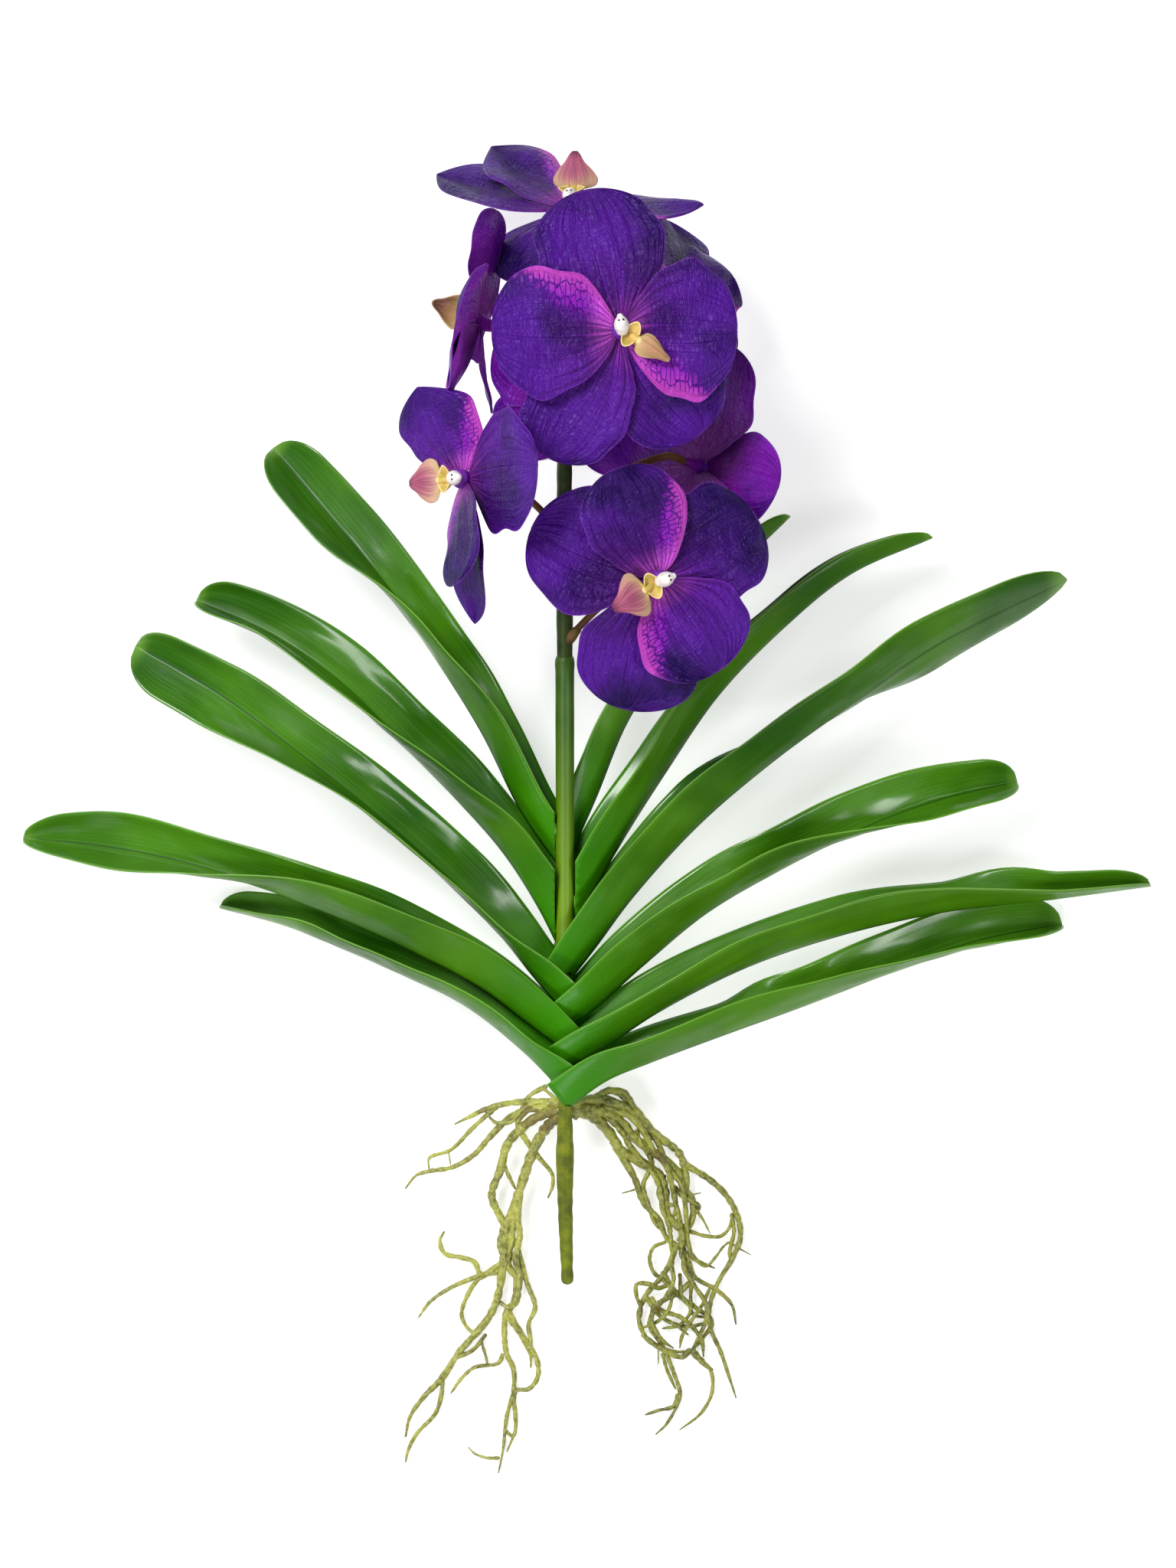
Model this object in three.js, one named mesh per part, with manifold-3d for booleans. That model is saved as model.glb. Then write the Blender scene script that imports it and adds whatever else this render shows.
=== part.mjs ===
// A bare-rooted vanda orchid of moulded soft plastic, laid on its back on a flat surface.
// Millimetres. X runs across the fan of leaves, Y up the stem from the crown, and Z up from the
// surface that the plant lies on. Eleven strap leaves are folded round a short core, a flower spike
// stands in a sleeve above it, and a stake with two bunches of aerial roots hangs below it.
import * as THREE from "three";
import { mergeVertices } from "three/addons/utils/BufferGeometryUtils.js";
import Module from "manifold-3d";

const wasm = await Module();
wasm.setup();

// Driving dimensions.
const SEAT = 0.3; // gap between two pieces that bear on each other
const LEAF_THICK = 1.1;
const LEAF_ROWS = 12;
const LEAF_TIP = 0.93; // share of a leaf's length at which its rounded tip starts
const TUCK_ROWS = 5; // how many rows of a leaf wrap the leaves above it
const LOWEST_BEHIND_SLEEVE = 70; // leaves that spring from above here stand behind the sleeve
const TUCK_DEPTH = 14; // how far out from a fold nothing of the leaves above may stand
const WING_ARCH = 0.05; // how far half a blade arches, as a share of its width
const CORE_RADIUS = 2.4;
const STAKE_RADIUS = 4.3;
const SLEEVE_RADIUS = 4.3;
const SPIKE_RADIUS = 3.7;
const PEDICEL_RADIUS = 1.7;
const TEPAL_THICK = 0.9;
const TEPAL_ROWS = 5;
const TEPAL_COLUMNS = 4;
const HUB_FRONT = 2.9; // the flat face at a bloom's heart that carries its column and lip
const HUB_BACK = -10; // the end of a bloom that meets its pedicel
const LIP_START = -8; // where the lobe of a lip springs from its joint
const LIP_LENGTH = 17;
const EAR_BREADTH = 6.2;
const COLUMN_RADIUS = 3.3;
const ROOT_SIDES = 4;
const ROOT_STEP = 15; // length of one straight stretch of root
const ROOT_CLEAR = 0.5; // how far the roots' far ends stay off the surface
const CROWN_HEIGHT = 22; // how much higher the roots start at the crown
const ROOT_SINK = 34; // distance over which about two thirds of that height is lost

const GREEN = { color: 0x3f8a22, roughness: 0.35, metalness: 0 };
const STEM_GREEN = { color: 0x5d8a2c, roughness: 0.5, metalness: 0 };
const OLIVE = { color: 0x6f8230, roughness: 0.6, metalness: 0 };
const ROOT = { color: 0xa8a04a, roughness: 0.6, metalness: 0 };
const VIOLET = { color: 0x4a1f9a, roughness: 0.45, metalness: 0 };
const MAUVE = { color: 0xc9a27c, roughness: 0.5, metalness: 0 };
const WHITE = { color: 0xf2efe6, roughness: 0.4, metalness: 0 };

const vec = (x, y, z) => new THREE.Vector3(x, y, z);
const radians = THREE.MathUtils.degToRad;

// ---- Closed meshes and solids ----

function closedMesh(points, triangles) {
  return new THREE.BufferGeometry().setFromPoints(points).setIndex(triangles);
}

// A sheet between two grids of points of the same size, closed all round its rim.
// Both faces are split into triangles alike, so that they stay parallel.
function sheet(upper, under) {
  const last = upper.length - 1;
  const edge = upper[0].length - 1;
  const at = (face, i, j) => (face * (last + 1) + i) * (edge + 1) + j;
  const triangles = [];
  const quad = (a, b, c, d) => triangles.push(a, b, c, a, c, d);
  for (let i = 0; i < last; i++) {
    for (let j = 0; j < edge; j++) {
      quad(at(0, i, j), at(0, i + 1, j), at(0, i + 1, j + 1), at(0, i, j + 1));
      quad(at(1, i, j), at(1, i, j + 1), at(1, i + 1, j + 1), at(1, i + 1, j));
    }
    quad(at(0, i, 0), at(1, i, 0), at(1, i + 1, 0), at(0, i + 1, 0));
    quad(at(0, i + 1, edge), at(1, i + 1, edge), at(1, i, edge), at(0, i, edge));
  }
  for (let j = 0; j < edge; j++) {
    quad(at(0, 0, j + 1), at(1, 0, j + 1), at(1, 0, j), at(0, 0, j));
    quad(at(0, last, j), at(1, last, j), at(1, last, j + 1), at(0, last, j + 1));
  }
  return closedMesh([...upper.flat(), ...under.flat()], triangles);
}

// A sheet of even thickness along the surface that place(u, v) gives, u from 0 to 1, v from -1 to 1.
function sheetAlong(place, rows, columns, thickness) {
  const small = 1e-3;
  const upper = [];
  const under = [];
  for (let i = 0; i <= rows; i++) {
    upper.push([]);
    under.push([]);
    for (let j = 0; j <= columns; j++) {
      const u = i / rows;
      const v = (2 * j) / columns - 1;
      const here = place(u, v);
      const along = place(Math.min(u + small, 1), v).sub(place(Math.max(u - small, 0), v));
      const across = place(u, v + small).sub(place(u, v - small));
      const out = along.cross(across).normalize().multiplyScalar(thickness / 2);
      upper[i].push(here.clone().add(out));
      under[i].push(here.clone().sub(out));
    }
  }
  return sheet(upper, under);
}

// A round strand along a smooth route, with flat ends. radii are spread evenly along it.
function strand(route, radii, sides, steps) {
  const curve = new THREE.CatmullRomCurve3(route.map((p) => vec(...p)), false, "centripetal");
  const frames = curve.computeFrenetFrames(steps);
  const points = [];
  const triangles = [];
  for (let i = 0; i <= steps; i++) {
    const centre = curve.getPointAt(i / steps);
    const place = (i / steps) * (radii.length - 1);
    const k = Math.min(Math.floor(place), radii.length - 2);
    const radius = THREE.MathUtils.lerp(radii[k], radii[k + 1], place - k);
    for (let s = 0; s < sides; s++) {
      const turn = (2 * Math.PI * s) / sides;
      const out = frames.normals[i].clone().multiplyScalar(Math.cos(turn) * radius);
      out.addScaledVector(frames.binormals[i], Math.sin(turn) * radius);
      points.push(centre.clone().add(out));
    }
  }
  for (let i = 0; i < steps; i++) {
    for (let s = 0; s < sides; s++) {
      const a = i * sides + s;
      const b = i * sides + ((s + 1) % sides);
      triangles.push(a, b, b + sides, a, b + sides, a + sides);
    }
  }
  const end = steps * sides;
  for (let s = 1; s < sides - 1; s++) {
    triangles.push(0, s + 1, s, end, end + s, end + s + 1);
  }
  return closedMesh(points, triangles);
}

// A closed mesh as a manifold-3d solid with its faces turned outwards.
function solid(geometry) {
  const bare = geometry.clone();
  bare.deleteAttribute("normal");
  bare.deleteAttribute("uv");
  const merged = mergeVertices(bare, 1e-4);
  const build = (triangles) =>
    new wasm.Manifold(
      new wasm.Mesh({
        numProp: 3,
        vertProperties: merged.attributes.position.array,
        triVerts: Uint32Array.from(triangles),
      }),
    );
  const made = build(merged.index.array);
  return made.volume() > 0 ? made : build([...merged.index.array].reverse());
}

function joined(geometries) {
  return geometries.map(solid).reduce((whole, next) => whole.add(next));
}

// The largest body of a solid, without loose scraps.
function largest(whole) {
  return whole.decompose().reduce((best, next) => (next.volume() > best.volume() ? next : best));
}

const plant = new THREE.Group();

// Whatever would sink below the surface is flattened on it.
const floorBox = new THREE.BoxGeometry(900, 900, 40).translate(0, 150, -20);
const belowFloor = solid(floorBox);

function addPiece(name, piece, finish) {
  const mesh = piece.subtract(belowFloor).getMesh();
  const geometry = new THREE.BufferGeometry();
  geometry.setAttribute("position", new THREE.BufferAttribute(mesh.vertProperties, 3));
  geometry.setIndex(new THREE.BufferAttribute(mesh.triVerts, 1));
  geometry.computeVertexNormals();
  const node = new THREE.Mesh(geometry, new THREE.MeshStandardMaterial(finish));
  node.name = name;
  plant.add(node);
}

// ---- Stake, core, sleeve and flower spike ----

const SLEEVE_ROUTE = [[0, 71, 33], [0, 112, 38], [0, 157, 46], [0, 205, 57]];
const SPIKE_ROUTE = [[0, 205.3, 57], [0, 247, 67], [0, 294, 75], [1, 335, 70], [2, 372, 50]];
const STAKE_ROUTE = [[1, -79, 16], [0, -40, 22], [0, 0, 28], [0, 35, 31], [0, 70.4, 32.8]];

function stakeOf(spare) {
  const stake = STAKE_RADIUS + spare;
  const core = CORE_RADIUS + spare;
  return strand(STAKE_ROUTE, [stake * 0.62, stake * 0.8, stake, core, core, core], 8, 12);
}

function sleeveOf(spare) {
  const radius = SLEEVE_RADIUS + spare;
  return strand(SLEEVE_ROUTE, [radius * 0.95, radius], 8, 6);
}

addPiece("stake", solid(stakeOf(0)), OLIVE);
addPiece("sleeve", solid(sleeveOf(0)), STEM_GREEN);
const stemRoom = joined([stakeOf(SEAT), sleeveOf(SEAT)]);

// ---- Leaves ----

// One row is a place along a leaf's fold: x, y, z, the width of each half of the blade, and the
// angles at which the near and the far half stand from it, from the plane of the fan up to Z.
const LEFT_LEAVES = [
  [
    [-3, 112, 34, 16, 36, -16],
    [-20, 137, 36, 17, 44, -14],
    [-38, 173, 37, 18, 46, -20],
    [-60, 208, 38, 18, 73, 12],
    [-81, 238, 37, 18, 92, 15],
    [-104, 267, 31, 18, 130, 22],
    [-134, 303, 22, 17, 130, 32],
  ],
  [
    [-2, 73, 32, 16, 32, -26],
    [-12, 93, 34, 18, 34, -26],
    [-28, 118, 36, 19, 38, -24],
    [-50, 143, 39, 20, 64, -10],
    [-75, 168, 41, 20, 81, 8],
    [-105, 197, 39, 20, 100, 14],
    [-136, 218, 32, 19, 97, 28],
    [-169, 233, 24, 17, 100, 38],
  ],
  [
    [-2, 47, 32, 16, 34, -28],
    [-14, 61, 34, 17, 50, -24],
    [-30, 81, 36, 18, 79, -18],
    [-58, 110, 39, 20, 88, 14],
    [-90, 138, 38, 20, 93, 16],
    [-124, 165, 33, 20, 114, 32],
    [-159, 191, 26, 20, 148, 44],
    [-197, 213, 18, 19, 150, 50],
  ],
  [
    [-1, 28, 32, 15, 34, -26],
    [-17, 40, 34, 18, 30, -24],
    [-40, 57, 36, 19, 26, -22],
    [-78, 77, 38, 20, 43, -6],
    [-118, 94, 34, 20, 58, 24],
    [-160, 109, 24, 19, 98, 36],
    [-205, 119, 12, 20, 115, 30],
    [-251, 124, -1, 13, 110, 45],
  ],
  [
    [-1, 9, 31, 14, 30, -28],
    [-20, 28, 30, 17, 66, -18],
    [-46, 48, 27, 18, 70, -4],
    [-73, 61, 23, 17, 72, 18],
    [-101, 73, 18, 16, 70, 32],
    [-129, 84, 11, 14, 75, 14],
    [-160, 92, 0.4, 9, 80, 20],
  ],
];
const RIGHT_LEAVES = [
  [
    [3, 118, 32, 13, 24, -30],
    [14, 143, 33, 15, 30, -35],
    [28, 177, 32, 15, 35, -35],
    [44, 202, 31, 14, 35, -35],
    [62, 227, 29, 13, 38, -35],
    [81, 250, 27, 11, 40, -35],
    [103, 272, 24, 6, 40, -35],
  ],
  [
    [4, 84, 32, 16, 30, -24],
    [24, 120, 36, 18, 40, -12],
    [46, 155, 39, 18, 47, -26],
    [70, 190, 41, 17, 42, -30],
    [99, 220, 39, 14, 40, -30],
    [130, 245, 35, 12, 40, -30],
    [168, 262, 28, 7, 40, -30],
  ],
  [
    [1, 58, 31, 17, 38, -30],
    [14, 75, 34, 18, 33, -20],
    [31, 98, 37, 18, 29, -14],
    [61, 131, 42, 20, 33, -10],
    [95, 160, 43, 20, 43, -56],
    [131, 186, 39, 20, 48, -90],
    [170, 213, 32, 19, 44, -120],
    [230, 243, 22, 16, 50, -112],
  ],
  [
    [2, 38, 31, 16, 34, -28],
    [15, 48, 34, 18, 36, -18],
    [36, 67, 37, 20, 40, -10],
    [65, 91, 40, 20, 55, -15],
    [98, 110, 38, 20, 62, 18],
    [133, 127, 32, 20, 90, 15],
    [170, 141, 24, 19, 108, 30],
    [208, 150, 15, 17, 110, 42],
  ],
  [
    [0, 19, 31, 15, 33, -26],
    [18, 29, 34, 18, 42, -18],
    [42, 45, 36, 19, 55, -10],
    [83, 66, 38, 19, 50, -25],
    [128, 81, 36, 19, 43, -22],
    [175, 91, 27, 17, 50, -40],
    [223, 96, 14, 15, 75, 33],
    [271, 102, -1, 11, 80, 40],
  ],
  [
    [1, 1, 30, 16, 25, -25],
    [19, 14, 33, 17, 36, -28],
    [38, 22, 35, 18, 50, -30],
    [75, 36, 37, 18, 48, -44],
    [112, 49, 33, 18, 57, 18],
    [150, 63, 24, 19, 77, 12],
    [189, 76, 12, 20, 95, 18],
    [230, 84, -1, 16, 100, 30],
  ],
];

// A strap leaf folded along its middle. side is 1 for a leaf that grows to +X and -1 to -X, count
// is how many of its rows are made, outside is how far its outer face lies from the middle of the
// blade, and spare is how much larger it is made on its other sides.
function foldedStrap(rows, side, count, outside, spare) {
  const inside = LEAF_THICK / 2 + spare;
  const fold = new THREE.CatmullRomCurve3(rows.map((r) => vec(r[0], r[1], r[2])));
  const form = new THREE.CatmullRomCurve3(rows.map((r) => vec(r[3], r[4], r[5])));
  const inner = [];
  const outer = [];
  for (let i = 0; i <= count; i++) {
    const t = 1 - (1 - i / LEAF_ROWS) ** 1.25;
    const centre = fold.getPoint(t);
    const along = fold.getTangent(t);
    const up = vec(-along.y * side, along.x * side, 0).normalize();
    const front = up.clone().cross(along).multiplyScalar(-side).normalize();
    const shape = form.getPoint(t);
    const tip = Math.max(0, (t - LEAF_TIP) / (1 - LEAF_TIP));
    const width = shape.x * Math.max(0.22, Math.sqrt(1 - tip * tip)) + 2 * spare;
    const near = radians(shape.y);
    const far = radians(shape.z);
    const toward = (angle) =>
      up.clone().multiplyScalar(Math.cos(angle)).addScaledVector(front, Math.sin(angle));
    const onWing = (angle, into, share) => {
      const arch = WING_ARCH * width * Math.sin(Math.PI * share);
      const place = centre.clone().addScaledVector(toward(angle), width * share);
      return place.addScaledVector(toward(into), -arch);
    };
    const nearIn = near - Math.PI / 2;
    const farIn = far + Math.PI / 2;
    const creased = inside / Math.max(Math.sin((near - far) / 2), 0.25);
    const stops = [
      [onWing(near, nearIn, 1), toward(nearIn), inside],
      [onWing(near, nearIn, 0.5), toward(nearIn), inside],
      [centre, toward((near + far) / 2), creased],
      [onWing(far, farIn, 0.5), toward(farIn), inside],
      [onWing(far, farIn, 1), toward(farIn), inside],
    ];
    inner.push(stops.map(([place, into, deep]) => place.clone().addScaledVector(into, deep)));
    outer.push(stops.map(([place, into]) => place.clone().addScaledVector(into, -outside)));
  }
  return solid(sheet(inner, outer));
}

// The room in front of the sleeve and past it, where no leaf on the given side comes.
function sleeveFront(side) {
  const [, startY, startZ] = SLEEVE_ROUTE[0];
  const [, endY, endZ] = SLEEVE_ROUTE.at(-1);
  const width = 2 * (SLEEVE_RADIUS + SEAT) + SLEEVE_RADIUS;
  const box = new THREE.BoxGeometry(width, endY - startY + 20, 40);
  box.translate(-side * (SLEEVE_RADIUS / 2), 0, 20).rotateX(Math.atan2(endZ - startZ, endY - startY));
  return solid(box.translate(0, (startY + endY) / 2, (startZ + endZ) / 2));
}

// Leaves are nested from the lowest to the highest. Each is tucked inside the fold of those below
// it: whatever would stand through them is trimmed away.
const nested = [];
for (let i = LEFT_LEAVES.length; i > 0; i--) {
  nested.push([`leaf_right_${i + 1}`, RIGHT_LEAVES[i], 1], [`leaf_left_${i}`, LEFT_LEAVES[i - 1], -1]);
}
nested.push(["leaf_right_1", RIGHT_LEAVES[0], 1]);
const lowerRooms = [];
for (const [name, rows, side] of nested) {
  const whole = foldedStrap(rows, side, LEAF_ROWS, LEAF_THICK / 2, 0);
  const stem = rows[0][1] > LOWEST_BEHIND_SLEEVE ? stemRoom.add(sleeveFront(side)) : stemRoom;
  const tucked = lowerRooms.slice(-2).reduce((left, room) => left.subtract(room), whole);
  addPiece(name, largest(tucked.subtract(stem)), GREEN);
  lowerRooms.push(foldedStrap(rows, side, TUCK_ROWS, TUCK_DEPTH, SEAT));
}

// ---- Blooms ----

// A tepal is its angle round the heart from the top sepal, its length, its width, its lean forward
// in degrees, how far its tip curls back, how far its edges cup forward, how much it waves, and
// how far it is twisted. Three sepals come first; the two petals, which stand before them, last.
//
// Each bloom: the place of its heart, the way it faces, the way its top sepal points, where its
// pedicel leaves the spike, its lip and its tepals. A lip is how far it is turned to one side,
// half the breadth of its lobe, how far that lobe arches, how far its sides drop, and its tilt.
const BLOOMS = [
  {
    at: [25, 348, 118], face: [0.05, 0.02, 1], top: [-0.17, 0.98, 0], from: 328, lip: [46, 5.4, 3, 3, 0],
    tepals: [
      [4, 65, 56, -4, 4, 3, 1.5],
      [140, 64, 48, -4, 3, 3, 1.5],
      [-149, 57, 54, -9, 3, 3, 1.5],
      [81, 57, 58, 3, 3, -2, 2],
      [-100, 51, 61, 5, 3, -2, 2],
    ],
  },
  {
    at: [42, 239, 112], face: [0.12, -0.1, 1], top: [0.92, 0.39, 0], from: 213, lip: [6, 10.4, 4.5, 2.5, 0],
    tepals: [
      [9, 52, 53, -4, 4, 3, 1.5],
      [136, 60, 54, -6, 4, 3, 1.5],
      [-126, 60, 55, -8, 4, 3, 1.5],
      [89, 53, 46, 6, 3, -2, 2],
      [-80, 48, 52, 6, 3, -2, 2],
    ],
  },
  {
    at: [-44, 284, 100], face: [-0.72, 0, 0.7], top: [0.7, 0.05, 0.72], from: 256, lip: [0, 10, 4, 1, 5],
    tepals: [
      [0, 54, 54, 14, 6, 3, 2],
      [126, 46, 34, -6, 0, 3, 2],
      [-99, 61, 38, -8, 3, 3, 2, -20],
      [106, 39, 37, 14, -4, -3, 2, -15],
      [-80, 49, 38, 14, -3, -3, 2, -20],
    ],
  },
  {
    at: [-37.5, 355, 82], face: [-0.93, 0.33, -0.2], top: [0.33, 0.94, 0], from: 326, lip: [90, 8, 3, 4, 38],
    tepals: [
      [0, 50, 38, 17, 4, 3, 2, 12],
      [172, 37, 32, -20, 4, 3, 2, 12],
      [-148, 42, 34, 2, 3, 3, 2],
      [85, 34, 36, 12, 3, -2, 2],
      [-102, 42, 58, 2, 3, -2, 3],
    ],
  },
  {
    at: [3, 408, 60], face: [-0.1, 0.86, 0.5], top: [0, -0.5, 0.86], from: 364, lip: [-12, 10.4, 3, 5, 50],
    tepals: [
      [-40, 45, 42, -16, 4, 3, 1.5],
      [-118, 66, 40, 11, 3, 3, 2],
      [150, 34, 34, -10, 4, 3, 2],
      [-143, 57, 33, 14, 1, 3, 2],
      [79, 58, 28, 4, 4, -2, 2],
    ],
  },
  {
    at: [53, 372, 60], face: [0.55, 0.45, 0.7], top: [-0.25, 0.9, -0.2], from: 345, lip: [0, 7, 4.5, 3, 0],
    tepals: [
      [-22, 47, 38, -8, 3, 2, 2],
      [142, 42, 32, -6, 3, 2, 2],
      [-142, 38, 32, -6, 3, 2, 2],
      [85, 38, 38, 0, 3, -2, 2],
      [-80, 33, 36, 6, 3, -2, 2],
    ],
  },
  {
    at: [61, 292, 60], face: [0.72, -0.2, -0.66], top: [0.3, 0.95, 0.1], from: 268, lip: [0, 8, 4.5, 3, 0],
    tepals: [
      [2, 56, 48, -4, 4, 3, 2],
      [142, 60, 44, -4, 4, 3, 2],
      [-142, 60, 44, 4, 4, 3, 2],
      [88, 52, 44, 4, 3, -2, 2],
      [-85, 52, 48, 6, 3, -2, 2],
    ],
  },
  {
    at: [10, 338, 13], face: [0, 0.05, -1], top: [0.2, 0.98, 0], from: 338, lip: [0, 7, 0, 1, 12],
    tepals: [
      [0, 50, 44, 16, 5, 3, 1.5],
      [142, 51, 38, 16, 4, 3, 1.5],
      [-142, 51, 38, 16, 4, 3, 1.5],
      [85, 45, 46, 16, 3, -2, 2],
      [-85, 45, 46, 16, 3, -2, 2],
    ],
  },
];

// The frame of a bloom: X across it, Y along its top sepal, and Z the way it faces.
function bloomFrame(bloom) {
  const face = vec(...bloom.face).normalize();
  const top = vec(...bloom.top);
  top.addScaledVector(face, -top.dot(face)).normalize();
  const across = top.clone().cross(face);
  return new THREE.Matrix4().makeBasis(across, top, face).setPosition(...bloom.at);
}

// Half the width of a tepal at u along it, as a share of its widest: a narrow foot, widest past
// the middle, and a round end. foot is how slowly it widens, from 0.5, at once, to 1, as a claw.
function tepalWidth(u, foot) {
  const swell = 1 - Math.abs(2 * u ** 1.25 - 1) ** 2.2;
  const blunt = THREE.MathUtils.lerp(foot, 0.5, THREE.MathUtils.smoothstep(u, 0.2, 0.7));
  return Math.max(swell, 0) ** blunt;
}

function tepal([angle, length, width, lean, curl, cup, wave, twist = 0], depth, foot, thick) {
  const start = 0.8;
  const turn = radians(angle);
  const along = vec(-Math.sin(turn), Math.cos(turn), 0);
  const across = vec(Math.cos(turn), Math.sin(turn), Math.tan(radians(twist)));
  const place = (u, v) => {
    const share = 0.02 + 0.975 * Math.sin((u * Math.PI) / 2) ** 0.9;
    const reach = start + (length - start) * share;
    const half = Math.max((width / 2) * tepalWidth(share, foot), 2.2);
    const rise = Math.tan(radians(lean)) * (reach - start) - curl * share ** 2;
    const aside = (half * v) / (width / 2);
    const ripple = wave * Math.sin(7 * share + angle) * aside * share;
    const height = vec(0, 0, depth + rise + cup * aside * aside * share + ripple);
    return height.addScaledVector(along, reach).addScaledVector(across, half * v);
  };
  return sheetAlong(place, TEPAL_ROWS, TEPAL_COLUMNS, thick);
}

// The solids that make up a bloom, each grown by spare on all its sides.
function bloomBody(bloom, spare) {
  const radii = [1.9 + spare, 3.2 + spare, 4.6 + spare];
  const hub = strand([[0, 0, HUB_BACK - spare], [0, 0, HUB_FRONT]], radii, 7, 2);
  const thick = TEPAL_THICK + 2 * spare;
  const rows = bloom.tepals.map(([angle, length, width, ...bend]) => [
    angle, length + spare, width + 2 * spare, ...bend,
  ]);
  const sepals = rows.slice(0, 3).map((row) => tepal(row, -0.6, 0.85, thick));
  const petals = rows.slice(3).map((row) => tepal(row, 1.2, 0.6, thick));
  return [hub, ...sepals, ...petals];
}

// The column: a white egg lying over the lip, on a short neck.
function column() {
  const base = HUB_FRONT + SEAT;
  const neck = strand([[0, 0.6, base], [0, 0.8, 7.5]], [2.2, 2.4], 5, 1);
  const radii = [0.45, 1, 0.92, 0.36].map((share) => share * COLUMN_RADIUS);
  return [neck, strand([[0, -2.6, 6], [0, 2, 8], [0, 6.4, 8.4]], radii, 7, 3)];
}

// The outline of a lip's lobe: shares of its length, each with a share of its breadth.
const LOBE = [[0, 0.34], [0.2, 1], [0.46, 0.86], [0.75, 0.4], [1, 0.12]];

// The lip: an arched heart-shaped lobe that narrows to its tip, and a cup of two ears at its foot.
function lip([turn, breadth, rise, drop, tilt]) {
  const base = HUB_FRONT + SEAT;
  const joint = strand([[0, -5.2, base], [0, -5.6, base + 2.2], [0, -9.4, base + 3.7]], [1.5, 1.9], 4, 2);
  const lobe = (u, v) => {
    const k = Math.min(Math.floor(u * (LOBE.length - 1)), LOBE.length - 2);
    const past = u * (LOBE.length - 1) - k;
    const [share, broad] = LOBE[k].map((value, i) => THREE.MathUtils.lerp(value, LOBE[k + 1][i], past));
    const lift = rise * Math.sin(Math.PI * 0.8 * share) - drop * v * v * broad;
    const place = vec(breadth * broad * v, -LIP_LENGTH * share, lift);
    return place.applyAxisAngle(vec(1, 0, 0), -radians(tilt)).add(vec(0, LIP_START, base + 3.6));
  };
  const ears = (u, v) => {
    const half = EAR_BREADTH * Math.sin(Math.PI * (0.07 + 0.86 * u)) ** 0.7;
    return vec(half * v, -3.4 - 4 * u, base + 1.3 + 3.8 * v * v + 0.8 * u);
  };
  const pieces = [joint, sheetAlong(lobe, LOBE.length - 1, 2, 0.9), sheetAlong(ears, 2, 2, 0.9)];
  return pieces.map((piece) => piece.rotateZ(radians(turn)));
}

const spikeParts = [
  strand(SPIKE_ROUTE, [SPIKE_RADIUS, SPIKE_RADIUS, SPIKE_RADIUS * 0.8, SPIKE_RADIUS * 0.55], 8, 10),
];
const spikeCurve = new THREE.CatmullRomCurve3(SPIKE_ROUTE.map((p) => vec(...p)));

// The point on the spike's axis at a given height up the stem.
function onSpike(y) {
  const share = (y - SPIKE_ROUTE[0][1]) / (SPIKE_ROUTE.at(-1)[1] - SPIKE_ROUTE[0][1]);
  return spikeCurve.getPointAt(THREE.MathUtils.clamp(share, 0, 1));
}

// The nearest blooms come first. Where the tepals of two blooms meet, the later one gives way.
const bloomRooms = [];
BLOOMS.forEach((bloom, i) => {
  const frame = bloomFrame(bloom);
  const placed = (pieces) => joined(pieces.map((piece) => piece.clone().applyMatrix4(frame)));
  const whole = placed(bloomBody(bloom, 0));
  const clear = bloomRooms.reduce((left, room) => left.subtract(room), whole);
  addPiece(`bloom_${i + 1}`, largest(clear), VIOLET);
  bloomRooms.push(placed(bloomBody(bloom, SEAT)));
  addPiece(`column_${i + 1}`, placed(column()), WHITE);
  addPiece(`lip_${i + 1}`, placed(lip(bloom.lip)), MAUVE);
  const onAxis = (depth) => vec(0, 0, depth).applyMatrix4(frame).toArray();
  const root = onSpike(bloom.from);
  const elbow = root.clone().lerp(vec(...onAxis(-24)), 0.45).add(vec(0, 4, 0));
  const route = [root.toArray(), elbow.toArray(), onAxis(-20), onAxis(HUB_BACK - SEAT)];
  spikeParts.push(strand(route, [PEDICEL_RADIUS, PEDICEL_RADIUS * 1.1], 5, 6));
});
addPiece("spike", joined(spikeParts), OLIVE);

// ---- Aerial roots ----

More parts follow.
